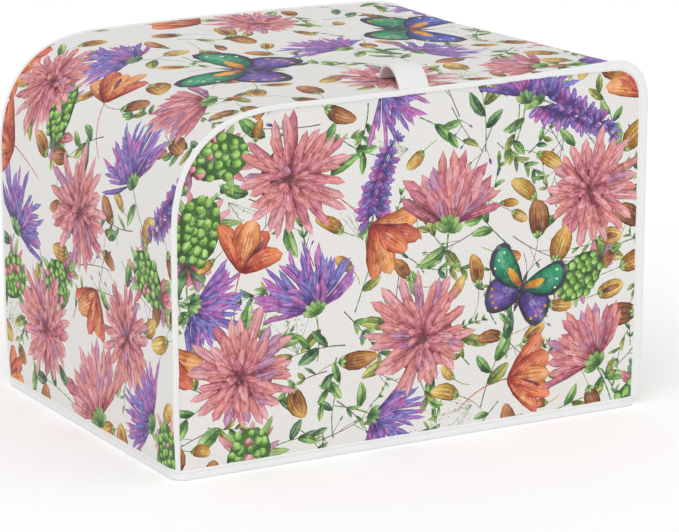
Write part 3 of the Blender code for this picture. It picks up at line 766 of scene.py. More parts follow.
# ---------------------------------------------------------------- materials
class Nodes:
    """Small helper that writes a node material as sums."""

    def __init__(self, name):
        self.mat = bpy.data.materials.new(name)
        self.mat.use_nodes = True
        self.nt = self.mat.node_tree
        self.bsdf = self.nt.nodes["Principled BSDF"]

    def link(self, a, b):
        self.nt.links.new(a, b)

    def put(self, node, key, value):
        if hasattr(value, "is_linked") or isinstance(value, bpy.types.NodeSocket):
            self.link(value, node.inputs[key])
        else:
            node.inputs[key].default_value = value

    def math(self, op, *args, clamp=False):
        n = self.nt.nodes.new("ShaderNodeMath")
        n.operation, n.use_clamp = op, clamp
        for i, a in enumerate(args):
            self.put(n, i, a)
        return n.outputs[0]

    def add(self, a, b): return self.math("ADD", a, b)
    def sub(self, a, b): return self.math("SUBTRACT", a, b)
    def mul(self, a, b): return self.math("MULTIPLY", a, b)
    def power(self, a, b): return self.math("POWER", a, b)
    def sin(self, a): return self.math("SINE", a)
    def abs(self, a): return self.math("ABSOLUTE", a)

    def smooth(self, a, lo, hi, to0=0.0, to1=1.0):
        n = self.nt.nodes.new("ShaderNodeMapRange")
        n.interpolation_type = "SMOOTHSTEP"
        for i, v in enumerate((a, lo, hi, to0, to1)):
            self.put(n, i, v)
        return n.outputs[0]

    def attr(self, name):
        n = self.nt.nodes.new("ShaderNodeAttribute")
        n.attribute_type, n.attribute_name = "GEOMETRY", name
        return n

    def split(self, socket):
        n = self.nt.nodes.new("ShaderNodeSeparateXYZ")
        self.link(socket, n.inputs[0])
        return n.outputs

    def join(self, x, y, z):
        n = self.nt.nodes.new("ShaderNodeCombineXYZ")
        for i, v in enumerate((x, y, z)):
            self.put(n, i, v)
        return n.outputs[0]

    def noise(self, vector, scale, detail=2.0, rough=0.5, distort=0.0):
        n = self.nt.nodes.new("ShaderNodeTexNoise")
        self.link(vector, n.inputs["Vector"])
        n.inputs["Scale"].default_value = scale
        n.inputs["Detail"].default_value = detail
        n.inputs["Roughness"].default_value = rough
        n.inputs["Distortion"].default_value = distort
        return n.outputs["Fac"]

    def mix(self, fac, a, b, blend="MIX"):
        n = self.nt.nodes.new("ShaderNodeMix")
        n.data_type, n.blend_type = "RGBA", blend
        self.put(n, 0, fac)
        for key, v in ((6, a), (7, b)):
            if isinstance(v, tuple):
                n.inputs[key].default_value = (*v[:3], 1.0)
            else:
                self.link(v, n.inputs[key])
        return n.outputs[2]

    def gain(self, colour, k):
        """colour times a number."""
        n = self.nt.nodes.new("ShaderNodeVectorMath")
        n.operation = "SCALE"
        self.link(colour, n.inputs[0])
        self.put(n, "Scale", k)
        return n.outputs[0]

    def bump(self, height, distance, strength=1.0):
        n = self.nt.nodes.new("ShaderNodeBump")
        n.inputs["Strength"].default_value = strength
        n.inputs["Distance"].default_value = distance
        self.link(height, n.inputs["Height"])
        self.link(n.outputs["Normal"], self.bsdf.inputs["Normal"])

    def finish(self, colour, rough, sheen=0.0, specular=0.3):
        self.link(colour, self.bsdf.inputs["Base Color"])
        self.put(self.bsdf, "Roughness", rough)
        self.bsdf.inputs["Specular IOR Level"].default_value = specular
        self.bsdf.inputs["Sheen Weight"].default_value = sheen
        self.bsdf.inputs["Sheen Roughness"].default_value = 0.5
        self.bsdf.inputs["Metallic"].default_value = 0.0
        return self.mat


CLOTH_WHITE = (0.785, 0.765, 0.738)
TAPE_WHITE = (0.84, 0.84, 0.835)


def printed_cloth(name, top_rib_shade=0.0):
    """The printed cloth. With top_rib_shade the weave's relief and the shade painted into its grooves
    are stronger on the top of the long strip and fade on its two upright sides."""
    g = Nodes(name)
    pa, pb, pc0, pc1, pm = (g.attr(k) for k in ("pa", "pb", "pc0", "pc1", "pm"))
    s, q, bend = g.split(pa.outputs["Vector"])
    m, e, ridges = g.split(pb.outputs["Vector"])
    ink, seed = pc0.outputs["Alpha"], pc1.outputs["Alpha"]
    place = pm.outputs["Vector"]
    px, py, _ = g.split(place)
    wash = g.noise(place, 0.22, 3.0, 0.6, 0.4)          # pigment pools, millimetres
    grain = g.noise(place, 1.3, 2.0, 0.6)               # paper-like grain of the wash
    broad = g.noise(place, 0.018, 2.0, 0.5)             # slow drift over the cloth
    # profile of the stroke
    sc = g.math("MAXIMUM", g.math("MINIMUM", s, 1.0), 0.0)
    sm = g.power(sc, m)
    f = g.power(g.math("MAXIMUM", g.mul(g.mul(sm, g.sub(1.0, sm)), 4.0), 0.0005), e)
    lean = g.mul(bend, g.mul(g.mul(sc, g.sub(1.0, sc)), 4.0))
    qe = g.sub(q, lean)
    u = g.math("DIVIDE", qe, g.math("MAXIMUM", f, 0.06))
    u = g.add(u, g.mul(g.sub(grain, 0.5), 0.22))
    v = g.abs(u)
    edge = g.add(g.mul(g.smooth(v, 0.42, 0.80), 0.45), g.mul(g.smooth(v, 0.74, 0.92), 0.55))
    turn = g.math("SUBTRACT", g.mul(g.math("GREATER_THAN", seed, 0.5), 2.0), 1.0)
    side = g.smooth(g.mul(u, turn), -0.1, 1.0)          # one flank lies in shade
    tip = g.smooth(sc, 0.90, 1.0)
    root = g.smooth(sc, 0.05, 0.48, 1.0, 0.0)
    # ribs run along the stroke
    k = g.mul(g.add(ridges, 1.0), math.pi / 2)
    wave = g.abs(g.math("COSINE", g.mul(g.add(u, 1.0), k)))
    ribs = g.mul(g.power(wave, 7.0), g.mul(g.math("GREATER_THAN", ridges, 0.5), g.smooth(v, 0.75, 0.95, 1.0, 0.0)))
    ribs = g.mul(ribs, g.smooth(sc, 0.45, 1.0, 1.0, 0.35))
    tone = g.smooth(g.add(sc, g.mul(g.sub(wash, 0.5), 1.3)), 0.10, 0.85)
    colour = g.mix(tone, pc0.outputs["Color"], pc1.outputs["Color"])
    shine = g.mul(g.smooth(v, 0.0, 0.65, 0.20, 0.0), g.smooth(wash, 0.42, 0.66))
    colour = g.mix(shine, colour, (0.93, 0.90, 0.87))
    colour = g.gain(colour, g.add(0.84, g.mul(g.add(g.mul(wash, 0.5), g.add(g.mul(grain, 0.25), g.mul(seed, 0.10))), 0.42)))
    dark = g.math("MAXIMUM", g.math("MAXIMUM", g.mul(edge, 0.95), g.mul(tip, 0.40)), g.math("MAXIMUM", g.mul(ribs, 0.85), g.mul(root, 0.72)))
    dark = g.mul(ink, g.math("MAXIMUM", dark, g.mul(side, 0.52)))
    gamma = g.nt.nodes.new("ShaderNodeGamma")
    g.link(colour, gamma.inputs[0])
    gamma.inputs[1].default_value = 1.9
    deep = g.gain(gamma.outputs[0], 0.44)
    colour = g.mix(dark, colour, deep)
    # bare cloth under the print
    bare = g.mix(broad, (CLOTH_WHITE[0] * 0.985, CLOTH_WHITE[1] * 0.99, CLOTH_WHITE[2]), CLOTH_WHITE)
    on = g.math("GREATER_THAN", ridges, -0.5)
    colour = g.mix(g.mul(on, 0.97), bare, colour)
    # ribbed weave, 1.15 mm apart one way and 1.6 mm the other
    jig = g.mul(g.noise(place, 0.10, 1.0), 1.2)
    wx = g.abs(g.sin(g.mul(g.add(px, g.mul(py, 0.22)), math.pi / 1.20)))
    wy = g.abs(g.sin(g.add(g.mul(py, math.pi / 0.95), jig)))
    weave = g.add(g.mul(g.power(wx, 0.7), 0.62), g.mul(wy, 0.38))
    fleck = g.noise(place, 3.1, 1.0)
    weave = g.add(weave, g.mul(g.sub(fleck, 0.5), 0.25))
    # the colour is darkened where the weave is low: painted shade in the weave's grooves
    groove_shade = g.smooth(weave, 0.15, 0.85, 0.855, 1.02)
    # on the long strip this painted groove shade and the bump are stronger on the top than on the upright sides
    if top_rib_shade:
        near = g.mul(g.smooth(px, 150.0, 250.0), g.smooth(px, 450.0, 500.0, 1.0, 0.0))
        amount = g.add(0.30, g.mul(near, top_rib_shade))
        groove_shade = g.add(0.945, g.mul(g.sub(groove_shade, 0.945), amount))
        weave = g.mul(weave, amount)
    colour = g.gain(colour, groove_shade)
    g.bump(weave, 0.00020, 0.75)
    return g.finish(colour, 0.82, sheen=0.10, specular=0.22)


def tape(name, white, pitch=0.62, slub=0.5, sheen=0.08):
    """White folded tape: fine ribs across, a little uneven, on pm (mm along,
    mm across)."""
    g = Nodes(name)
    pm = g.attr("pm").outputs["Vector"]
    px, py, _ = g.split(pm)
    broad = g.noise(pm, 0.035, 2.0)
    fine = g.noise(pm, 1.6, 2.0)
    wob = g.mul(g.noise(pm, 0.25, 1.0), 1.0)
    across = g.abs(g.sin(g.add(g.mul(px, math.pi / pitch), wob)))
    along = g.abs(g.sin(g.mul(py, math.pi / (pitch * 0.9))))
    h = g.add(g.add(g.mul(across, 0.55), g.mul(along, 0.35)), g.mul(g.sub(fine, 0.5), slub))
    colour = g.mix(broad, tuple(c * 0.965 for c in white), white)
    # the colour is darkened where the ribs are low: painted shade in the rib grooves
    colour = g.gain(colour, g.smooth(h, 0.1, 0.9, 0.91, 1.02))
    g.bump(h, 0.00010, 0.7)
    return g.finish(colour, 0.68, sheen=sheen, specular=0.3)


def thread(name, white):
    g = Nodes(name)
    pm = g.attr("pm").outputs["Vector"]
    px, py, _ = g.split(pm)
    twist = g.abs(g.sin(g.mul(g.add(px, g.mul(py, 1.4)), math.pi / 0.45)))
    # the colour is darkened in the twist's grooves (painted shade), over a random tone
    colour = g.gain(g.mix(g.noise(pm, 0.6), tuple(c * 0.93 for c in white), white), g.smooth(twist, 0.0, 1.0, 0.88, 1.02))
    g.bump(twist, 0.00005, 0.6)
    return g.finish(colour, 0.55, sheen=0.05, specular=0.35)


# ---------------------------------------------------------------- swept tapes and stitches
def mesh_object(name, P, faces, pm, mat, angle=50):
    me = bpy.data.meshes.new(name)
    me.from_pydata([tuple(p) for p in P], [], faces)
    me.validate(clean_customdata=False)
    me.update()
    me.shade_smooth()
    me.set_sharp_from_angle(angle=math.radians(angle))
    at = me.attributes.new("pm", "FLOAT_VECTOR", "POINT")
    at.data.foreach_set("vector", np.asarray(pm, np.float32).ravel())
    me.materials.append(mat)
    ob = bpy.data.objects.new(name, me)
    bpy.context.scene.collection.objects.link(ob)
    return ob


def swept(name, R, mat, closed=False, angle=60):
    """A tube through rings R (rings, points, 3); pm follows the surface."""
    n_r, n_p = R.shape[:2]
    mid = R.mean(1)
    step = np.linalg.norm(np.diff(mid, axis=0), axis=1)
    run = np.r_[0, np.cumsum(step)] * 1000
    around = np.r_[0, np.cumsum(np.linalg.norm(np.diff(R[n_r // 2], axis=0), axis=1))] * 1000
    pm = np.zeros((n_r, n_p, 3))
    pm[..., 0] = run[:, None]
    pm[..., 1] = around[None, :]
    faces = []
    for r in range(n_r if closed else n_r - 1):
        t = (r + 1) % n_r
        for i in range(n_p):
            j = (i + 1) % n_p
            faces.append((r * n_p + i, r * n_p + j, t * n_p + j, t * n_p + i))
    if not closed:
        faces.append(tuple(range(n_p))[::-1])
        faces.append(tuple((n_r - 1) * n_p + i for i in range(n_p)))
    P = R.reshape(-1, 3)
    vol = 0.0
    for f in faces:
        a = P[f[0]]
        for i in range(1, len(f) - 1):
            vol += float(np.dot(a, np.cross(P[f[i]], P[f[i + 1]])))
    if vol < 0:
        faces = [tuple(reversed(f)) for f in faces]
    return mesh_object(name, P, faces, pm.reshape(-1, 3), mat, angle)


def stitches(name, runs, mat, length=2.3, gap=1.0, radius=0.00021, seed=5):
    """Rows of small thread stitches lying half in the cloth. Each run is
    (points, outward normals)."""
    r = random.Random(seed)
    P, F, pm = [], [], []
    for pts, nor in runs:
        d = np.r_[0, np.cumsum(np.linalg.norm(np.diff(pts, axis=0), axis=1))] * 1000
        at = 0.8
        while at + length < d[-1] - 0.5:
            L = length * r.uniform(0.93, 1.05)
            ss = at + L * np.array([0.0, 0.14, 0.5, 0.86, 1.0])
            C = np.stack([np.interp(ss, d, pts[:, k]) for k in range(3)], 1)
            N = np.stack([np.interp(ss, d, nor[:, k]) for k in range(3)], 1)
            N /= np.linalg.norm(N, axis=1, keepdims=True)
            tan = C[-1] - C[0]
            tan /= np.linalg.norm(tan)
            B = np.cross(tan, N)
            sink = np.array([-1.1, 0.05, 0.35, 0.05, -1.1])
            size = np.array([0.35, 0.9, 1.0, 0.9, 0.35])
            k0 = len(P)
            for i in range(5):
                for j in range(6):
                    a = 2 * math.pi * j / 6
                    P.append(C[i] + N[i] * radius * (sink[i] + size[i] * math.sin(a)) + B[i] * radius * 1.15 * size[i] * math.cos(a))
                    pm.append((ss[i], j * 0.25, 0))
            for i in range(4):
                for j in range(6):
                    m = (j + 1) % 6
                    F.append((k0 + i * 6 + j, k0 + i * 6 + m, k0 + (i + 1) * 6 + m, k0 + (i + 1) * 6 + j))
            F.append(tuple(k0 + j for j in range(6))[::-1])
            F.append(tuple(k0 + 24 + j for j in range(6)))
            at += L + gap
    P = np.array(P)
    # outward check on the first stitch
    a, b, c = P[F[8][0]], P[F[8][1]], P[F[8][2]]
    cen = P[0:30].mean(0)
    if np.dot(np.cross(b - a, c - a), a - cen) < 0:
        F = [tuple(reversed(f)) for f in F]
    return mesh_object(name, P, F, pm, mat, 60)


# ---------------------------------------------------------------- building the pieces
def gusset_piece(mat):
    G, GN = gusset_grid()
    w, h = GUSSET_MM

    def shape(V, inner):
        P = bilinear(G, V[:, 0] / w, V[:, 1] / h)
        N = bilinear(GN, V[:, 0] / w, V[:, 1] / h)
        N /= np.linalg.norm(N, axis=1, keepdims=True)
        return (P - N * CLOTH, -N) if inner else (P, N)

    def bake(p, cen, inside):
        right = cen[:, 0] > w / 2
        u = np.where(inside, p[:, 0] / w, (p[:, 0] - np.where(right, w / 2, 0)) / (w / 2))
        v = np.where(inside, 0.90 + 0.09 * p[:, 1] / h, p[:, 1] / h * 0.44 + np.where(right, 0.45, 0.0))
        return np.stack([0.004 + 0.992 * u, 0.004 + 0.99 * v], 1)

    n, m = 164, 56
    outline = ([(w * i / n, 0) for i in range(n)] + [(w, h * i / m) for i in range(m)]
               + [(w - w * i / n, h) for i in range(n)] + [(0, h - h * i / m) for i in range(m)])
    heroes = [
        ("butterfly", 268, 92, 84, 2.5, 0), ("butterfly", 404, 150, 78, -0.5, 1), ("butterfly", 598, 60, 62, 2.8, 2),
        ("dahlia", 44, 168, 34, 0.3), ("dahlia", 122, 116, 36, 1.1), ("dahlia", 186, 184, 33, 2.0), ("dahlia", 322, 30, 34, 0.8),
        ("dahlia", 470, 74, 35, 0.2), ("dahlia", 556, 164, 35, 2.2), ("dahlia", 634, 140, 30, 0.9), ("dahlia", 330, 196, 30, 1.5),
        ("dahlia", 64, 60, 33, 1.9), ("side", 8, 96, 44, 0.4), ("side", 410, 18, 36, 2.4), ("side", 520, 22, 38, 0.9), ("side", 214, 40, 38, 2.6),
        ("feather", 96, 206, 60, -0.6), ("feather", 150, 52, 60, 0.5), ("feather", 22, 28, 58, 1.0), ("feather", 226, 150, 60, 2.2),
        ("feather", 372, 84, 54, 0.2), ("berry", 156, 150, 38, 0.4), ("berry", 96, 16, 38, 1.2), ("berry", 84, 140, 36, 2.2),
    ]
    counts = [
        ("feather", 4, 50, 62, 0.92), ("berry", 5, 34, 42, 0.92), ("larkspur", 2, 46, 58, 0.92), ("poppy", 10, 26, 32, 0.92),
        ("leafy", 18, 30, 42, 0.80), ("hip", 74, 16, 25, 0.84), ("leafy", 16, 22, 32, 0.70), ("sprig", 10, 24, 38, 0.72), ("lace", 2, 20, 30, 0.72),
        ("hip", 16, 12, 17, 0.76), ("twig", 10, 28, 48, 0.58), ("leafy", 5, 16, 24, 0.62), ("sprig", 6, 14, 24, 0.60),
    ]
    shapes = lay_out(4102, (w, h), heroes, counts)
    ob = cloth_piece("cloth_gusset", outline, shapes, 5.0, shape, bake, cuts=[((w / 2, 0), (w / 2, h))])
    ob.data.materials.append(mat)
    return ob, G, GN, len(shapes)


def panel_piece(name, front, mat, seed, heroes):
    line = panel_outline(front)
    sign = -1 if front else 1

    def place(x, z):
        d = panel_shape(x, z, front, line) / 1000
        P = np.stack([x / 1000, np.full(x.shape, sign * (HALF_D - PROUD)) + sign * d, z / 1000], 1)
        return soften(lift(P))

    def shape(V, inner):
        x, z = V[:, 0] - 150.0, V[:, 1]
        h = 0.8
        dx = place(x + h, z) - place(x - h, z)
        dz = place(x, z + h) - place(x, z - h)
        N = np.cross(dx, dz)
        N /= np.linalg.norm(N, axis=1, keepdims=True)
        N *= np.sign(N[:, 1:2]) * sign
        P = place(x, z)
        return (P - N * CLOTH, -N) if inner else (P, N)

    def bake(p, cen, inside):
        u, v = p[:, 0] / 300, np.clip(p[:, 1] / 200, 0, 1)
        return np.stack([0.004 + 0.992 * u, np.where(inside, 0.89 + 0.10 * v, 0.004 + 0.87 * v)], 1)

    ring = [(x + 150.0, z) for x, z in line[::-1].tolist()]     # right foot, over, left foot
    a, b = ring[-1], ring[0]
    base = [(a[0] + (b[0] - a[0]) * i / 74, a[1]) for i in range(1, 74)]
    counts = [
        ("feather", 3, 50, 60, 0.92), ("berry", 5, 34, 42, 0.92), ("larkspur", 2, 44, 54, 0.92), ("poppy", 5, 26, 32, 0.92),
        ("leafy", 9, 30, 42, 0.80), ("hip", 36, 16, 25, 0.84), ("leafy", 12, 22, 32, 0.70), ("sprig", 16, 24, 38, 0.72), ("lace", 8, 20, 30, 0.72),
        ("hip", 14, 12, 17, 0.76), ("twig", 26, 28, 48, 0.58), ("leafy", 10, 16, 24, 0.62), ("sprig", 24, 14, 24, 0.60),
    ]
    shapes = lay_out(seed, (300.0, 200.0), heroes, counts)
    ob = cloth_piece(name, ring + base, shapes, 2.6, shape, bake)
    ob.data.materials.append(mat)
    return ob, place, len(shapes)


def seam_tape(name, front, mat):
    sign = -1 if front else 1
    y = sign * HALF_D
    line = arch(y, 0.0, 0.0046, 70, 52, 76)
    nor = line_normals(line)
    run = np.r_[0, np.cumsum(np.hypot(*np.diff(line, axis=0).T))] * 1000
    w1, w2, w3 = ripple(run, 31 if front else 32), ripple(run, 33 if front else 34), ripple(run, 35 if front else 36)
    section = [(4.85, 0.95), (4.72, 0.42), (4.40, 0.10), (3.80, -0.06), (3.10, -0.02), (2.30, 0.06), (1.50, -0.06), (0.85, 0.04),
               (0.32, 0.34), (0.05, 0.85), (-0.06, 1.45), (0.00, 2.05), (0.10, 2.55), (0.40, 2.92), (0.80, 3.02), (1.30, 2.40), (2.10, 1.80), (3.80, 1.70), (4.70, 1.55)]
    R = np.zeros((len(line), len(section), 3))
    k = np.clip((line[:, 0] / HALF_W - 0.45) / 0.5, 0, 1)
    broad = k * k * (3 - 2 * k) if front else 0.35 * np.ones(len(line))
    slim = 0.62 + 0.40 * broad
    for i, (inset, back) in enumerate(section):
        lip = 1.0 if inset > 4.2 else 0.0
        side = 1.0 if back > 2.4 and inset < 1.0 else 0.0
        roll = max(0.0, 1 - back / 3.0) * max(0.0, 1 - inset / 2.6) if front else 0.0
        ins = inset * (slim if inset > 1.2 else 1.0) + 0.13 * w1 * lip + 0.05 * w3 - 1.9 * broad * roll
        bk = back * (0.80 if inset < 1.3 else 1.0) + 0.13 * w2 * side - 0.07 * w3 * (1 - side)
        R[:, i, 0] = line[:, 0] - nor[:, 0] * ins / 1000
        R[:, i, 2] = line[:, 1] - nor[:, 1] * ins / 1000
        R[:, i, 1] = sign * (HALF_D - bk / 1000)
    R = soften(lift(R))
    ob = swept(name, R, mat)
    # topstitching runs just inside the tape's edge
    ins = 3.85 * slim + 0.05 * w3
    S = np.stack([line[:, 0] - nor[:, 0] * ins / 1000, sign * (HALF_D + (0.05 + 0.07 * w3) / 1000), line[:, 1] - nor[:, 1] * ins / 1000], 1)
    S = soften(lift(S))[3:-3]
    N = np.tile(np.array([0.0, float(sign), 0.0]), (len(S), 1))
    return ob, (S, N)


def hem_tape(name, mat):
    r = LOW_CORNER
    path = []                     # (x, y, outward x, outward y)
    for sx, sy, start in ((1, -1, -90), (1, 1, 0), (-1, 1, 90), (-1, -1, 180)):
        cx, cy = sx * (HALF_W - r), sy * (HALF_D - r)
        for i in range(13):
            a = math.radians(start + 90 * i / 12)
            path.append((cx + r * math.cos(a), cy + r * math.sin(a), math.cos(a), math.sin(a)))
    full = []
    for k, p in enumerate(path):
        full.append(p)
        if k % 13 == 12:
            q = path[(k + 1) % len(path)]
            n = int(math.hypot(q[0] - p[0], q[1] - p[1]) / 0.0028)
            full += [tuple(p[m] + (q[m] - p[m]) * j / n for m in range(4)) for j in range(1, n)]
    A = np.array(full)
    run = np.r_[0, np.cumsum(np.hypot(*np.diff(A[:, :2], axis=0).T))] * 1000
    total = run[-1] + 2.8
    w = np.sin(2 * np.pi * run / total * 31) * 0.5 + np.sin(2 * np.pi * run / total * 53 + 1.3) * 0.35 + np.sin(2 * np.pi * run / total * 87 + 0.4) * 0.3
    w2 = np.sin(2 * np.pi * run / total * 23 + 2.1) * 0.6 + np.sin(2 * np.pi * run / total * 61 + 0.9) * 0.4
    section = [(1.30, 0.0), (0.70, 0.14), (0.28, 0.46), (0.05, 0.95), (-0.06, 1.7), (-0.04, 2.7), (0.02, 3.5), (0.22, 3.95), (0.26, 4.2), (0.04, 4.55), (-0.06, 5.0), (0.08, 5.5), (0.42, 5.76), (0.95, 5.78),
               (2.9, 5.70), (3.6, 5.5), (3.95, 4.9), (4.0, 3.0), (3.95, 0.7), (3.5, 0.08), (2.9, 0.0)]
    R = np.zeros((len(A), len(section), 3))
    for i, (d, z) in enumerate(section):
        top = 1.0 if z > 5.2 else 0.0
        dd = (d + 0.05 * w2) / 1000
        R[:, i, 0] = A[:, 0] - A[:, 2] * dd
        R[:, i, 1] = A[:, 1] - A[:, 3] * dd
        R[:, i, 2] = (z + 0.14 * w * top) / 1000
    ob = swept(name, R, mat, closed=True)
    C = np.concatenate([A, A[:1]])
    zz = 0.0040
    S = np.stack([C[:, 0] - C[:, 2] * 0.00020, C[:, 1] - C[:, 3] * 0.00020, np.full(len(C), zz)], 1)
    N = np.stack([C[:, 2], C[:, 3], np.zeros(len(C))], 1)
    return ob, (S, N)


def strap_piece(name, G, mat):
    y0g, y1g = -HALF_D + 0.0013, HALF_D - 0.0013

    def top_z(x, y):
        v = np.clip((y - y0g) / (y1g - y0g), 0, 1) * (NY - 1)
        j = min(int(v), NY - 2)
        f = v - j
        row = G[j] * (1 - f) + G[j + 1] * f
        mid = row[int(NA * 0.3):int(NA * 0.75)]
        return float(np.interp(x, mid[:, 0], mid[:, 2]))

    ya = -HALF_D + 0.0024
    total = STRAP_SPAN + STRAP_TAIL
    line = []
    steps = 90
    for i in range(steps + 1):
        s = i / steps
        runy = s * total
        if runy < STRAP_SPAN:
            k = (runy / STRAP_SPAN) ** 1.15
            up = STRAP_RISE * max(0.0, 1 - abs(2 * k - 1) ** 2.4) ** 0.9
        else:
            up = 0.0
        y = ya + runy
        x = STRAP_X_FRONT + (STRAP_X_REAR - STRAP_X_FRONT) * s
        base = top_z(x, y) + 0.00012 if runy > 0.002 else top_z(x, y) - 0.0006
        line.append((x, y, base + up))
    L = np.array(line)
    # even steps and a little smoothing where it leaves and meets the top
    d = np.r_[0, np.cumsum(np.linalg.norm(np.diff(L, axis=0), axis=1))]
    s = np.linspace(0, d[-1], 110)
    L = np.stack([np.interp(s, d, L[:, k]) for k in range(3)], 1)
    for _ in range(4):
        L[1:-1] = (L[:-2] + 2 * L[1:-1] + L[2:]) / 4
    T = np.gradient(L, axis=0)
    T /= np.linalg.norm(T, axis=1, keepdims=True)
    nor = np.stack([np.zeros(len(T)), -T[:, 2], T[:, 1]], 1)
    nor /= np.linalg.norm(nor, axis=1, keepdims=True)
    half, th = STRAP_WIDTH / 2 * 1000, 1.75
    sec = [(-half, 0.55), (-half + 0.12, 0.18), (-half + 0.5, 0.0)]
    sec += [(-half + 0.5 + (2 * half - 1.0) * i / 8, 0.03 * math.sin(i * 2.1)) for i in range(1, 8)]
    sec += [(half - 0.5, 0.0), (half - 0.12, 0.18), (half, 0.55), (half, th - 0.55), (half - 0.12, th - 0.16), (half - 0.55, th)]
    sec += [(half - 0.55 - (2 * half - 1.1) * i / 12, th + 0.16 * math.sin(math.pi * i / 12)) for i in range(1, 12)]
    sec += [(-half + 0.55, th), (-half + 0.12, th - 0.16), (-half, th - 0.55)]
    arc = s / s[-1]
    R = np.zeros((len(L), len(sec), 3))
    for i, (across, up) in enumerate(sec):
        cup = 0.5 * np.sin(np.pi * np.clip(arc / 0.8, 0, 1)) * (1 - (across / half) ** 2)
        R[:, i] = L + nor * ((up + cup) / 1000)[:, None] + np.array([1.0, 0, 0]) * across / 1000
    ob = swept(name, R, mat)
    runs = []
    T0 = s[-1] - 0.0068

    def on_top(ss, across):
        C = np.stack([np.interp(ss, s, L[:, k]) for k in range(3)], 1)
        Nn = np.stack([np.interp(ss, s, nor[:, k]) for k in range(3)], 1)
        lift_by = (th + 0.16 * np.cos(np.pi * np.asarray(across) / (2 * half)) + 0.0) / 1000
        C = C + Nn * np.reshape(lift_by, (-1, 1))
        C[:, 0] += np.asarray(across) / 1000
        return C, Nn

    a0, a1 = T0, s[-1] - 0.0015
    for side in (-1, 1):
        ss = np.linspace(a0, a1, 12)
        runs.append(on_top(ss, np.full(12, side * (half - 1.4))))
        aa = np.linspace(-half + 1.4, half - 1.4, 12)
        runs.append(on_top(np.linspace(a0, a1, 12), aa * side))
    for e in (a0, a1):
        aa = np.linspace(-half + 1.2, half - 1.2, 12)
        runs.append(on_top(np.full(12, e), aa))
    return ob, runs


def soft_sun(name, towards, strength, spread):
    """A wide soft lamp far away, shining from the given direction."""
    data = bpy.data.lights.new(name, "SUN")
    data.energy, data.angle = strength, math.radians(spread)
    ob = bpy.data.objects.new(name, data)
    ob.rotation_euler = Vector(towards).to_track_quat("Z", "Y").to_euler()
    bpy.context.scene.collection.objects.link(ob)
    return ob


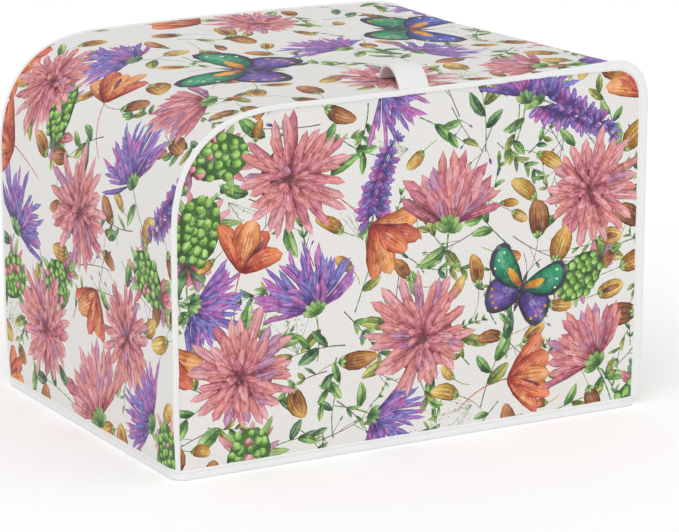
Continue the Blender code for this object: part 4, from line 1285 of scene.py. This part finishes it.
def main():
    cloth = printed_cloth("mat_print_long_strip", 0.8)
    cloth_flat = printed_cloth("mat_print_end_panel")
    tape_mat = tape("mat_binding_tape", TAPE_WHITE)
    strap_mat = tape("mat_strap_tape", (0.80, 0.80, 0.795), pitch=0.9, slub=0.25, sheen=0.10)
    thread_mat = thread("mat_thread", (0.86, 0.86, 0.85))

    gusset, G, GN, n1 = gusset_piece(cloth)
    front, _, n2 = panel_piece("cloth_front", True, cloth_flat, 771, [
        ("berry", 10, 118, 40, 1.3), ("dahlia", 70, 158, 34, 0.4), ("dahlia", 40, 52, 34, 1.2), ("feather", 84, 84, 58, 1.9), ("feather", 12, 96, 50, -0.4), ("dahlia", 152, 60, 35, 2.0), ("dahlia", 262, 130, 34, 0.1),
        ("side", 168, 122, 40, 1.4), ("butterfly", 216, 78, 52, 1.2, 0), ("side", 268, 30, 36, 2.2),
    ])
    back, _, n3 = panel_piece("cloth_back", False, cloth_flat, 915, [
        ("dahlia", 60, 60, 35, 0.9), ("dahlia", 150, 140, 34, 1.9), ("dahlia", 244, 66, 35, 0.3), ("side", 60, 124, 38, 1.2),
        ("side", 226, 128, 38, 1.9), ("butterfly", 150, 70, 54, 1.5, 1),
    ])
    print("print shapes", n1, n2, n3, "triangles", len(gusset.data.polygons), len(front.data.polygons), len(back.data.polygons))
    tape_f, run_f = seam_tape("tape_front_seam", True, tape_mat)
    tape_r, run_r = seam_tape("tape_rear_seam", False, tape_mat)
    hem, run_h = hem_tape("tape_hem", tape_mat)
    strap, runs_s = strap_piece("strap_handle", G, strap_mat)
    st_f = stitches("stitches_front", [run_f], thread_mat, seed=1)
    st_r = stitches("stitches_rear", [run_r], thread_mat, seed=2)
    st_h = stitches("stitches_hem", [run_h], thread_mat, seed=3)
    st_s = stitches("stitches_strap", runs_s, thread_mat, length=1.9, gap=0.7, radius=0.00019, seed=4)

    for ob, node, slot in ((gusset, "gusset", "print_cloth"), (front, "front_panel", "print_cloth"), (back, "back_panel", "print_cloth"),
                           (tape_f, "binding_front", "binding_tape"), (tape_r, "binding_rear", "binding_tape"),
                           (hem, "hem_binding", "binding_tape"), (strap, "handle_strap", "strap_tape")):
        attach(ob, "root")
        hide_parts(node)
    for ob, slot in ((st_f, "binding_tape"), (st_r, "binding_tape"), (st_h, "binding_tape"), (st_s, "strap_tape")):
        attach(ob, "root")

    # ---- floor, light and camera
    me = bpy.data.meshes.new("floor")
    me.from_pydata([(-6, -6, 0), (6, -6, 0), (6, 6, 0), (-6, 6, 0)], [], [(0, 1, 2, 3)])
    floor = bpy.data.objects.new("floor", me)
    bpy.context.scene.collection.objects.link(floor)
    fm = bpy.data.materials.new("floor")
    fm.use_nodes = True
    b = fm.node_tree.nodes["Principled BSDF"]
    b.inputs["Base Color"].default_value = (0.90, 0.90, 0.90, 1)
    b.inputs["Emission Color"].default_value = (1, 1, 1, 1)
    b.inputs["Emission Strength"].default_value = 0.13
    b.inputs["Roughness"].default_value = 0.9
    b.inputs["Specular IOR Level"].default_value = 0.1
    me.materials.append(fm)

    world = bpy.data.worlds.new("studio")
    world.use_nodes = True
    world.node_tree.nodes["Background"].inputs[0].default_value = (1.0, 1.0, 1.0, 1)
    world.node_tree.nodes["Background"].inputs[1].default_value = 0.72
    bpy.context.scene.world = world
    soft_sun("key", (-0.75, -0.85, 1.15), 0.95, 50)
    soft_sun("fill", (1.0, -0.9, 0.9), 0.25, 70)

    cam = bpy.data.cameras.new("camera")
    cam.lens, cam.sensor_width, cam.sensor_fit = 144.44, 36.0, "HORIZONTAL"
    cam.clip_start, cam.clip_end = 0.05, 50
    eye = bpy.data.objects.new("camera", cam)
    eye.location = (-0.75934, -1.23421 - HALF_D, 0.43628)
    eye.rotation_euler = (math.pi / 2 - 0.2280, 0.0, -0.5214)
    bpy.context.scene.collection.objects.link(eye)
    bpy.context.scene.camera = eye
    bpy.context.scene.view_settings.view_transform = "Standard"


main()
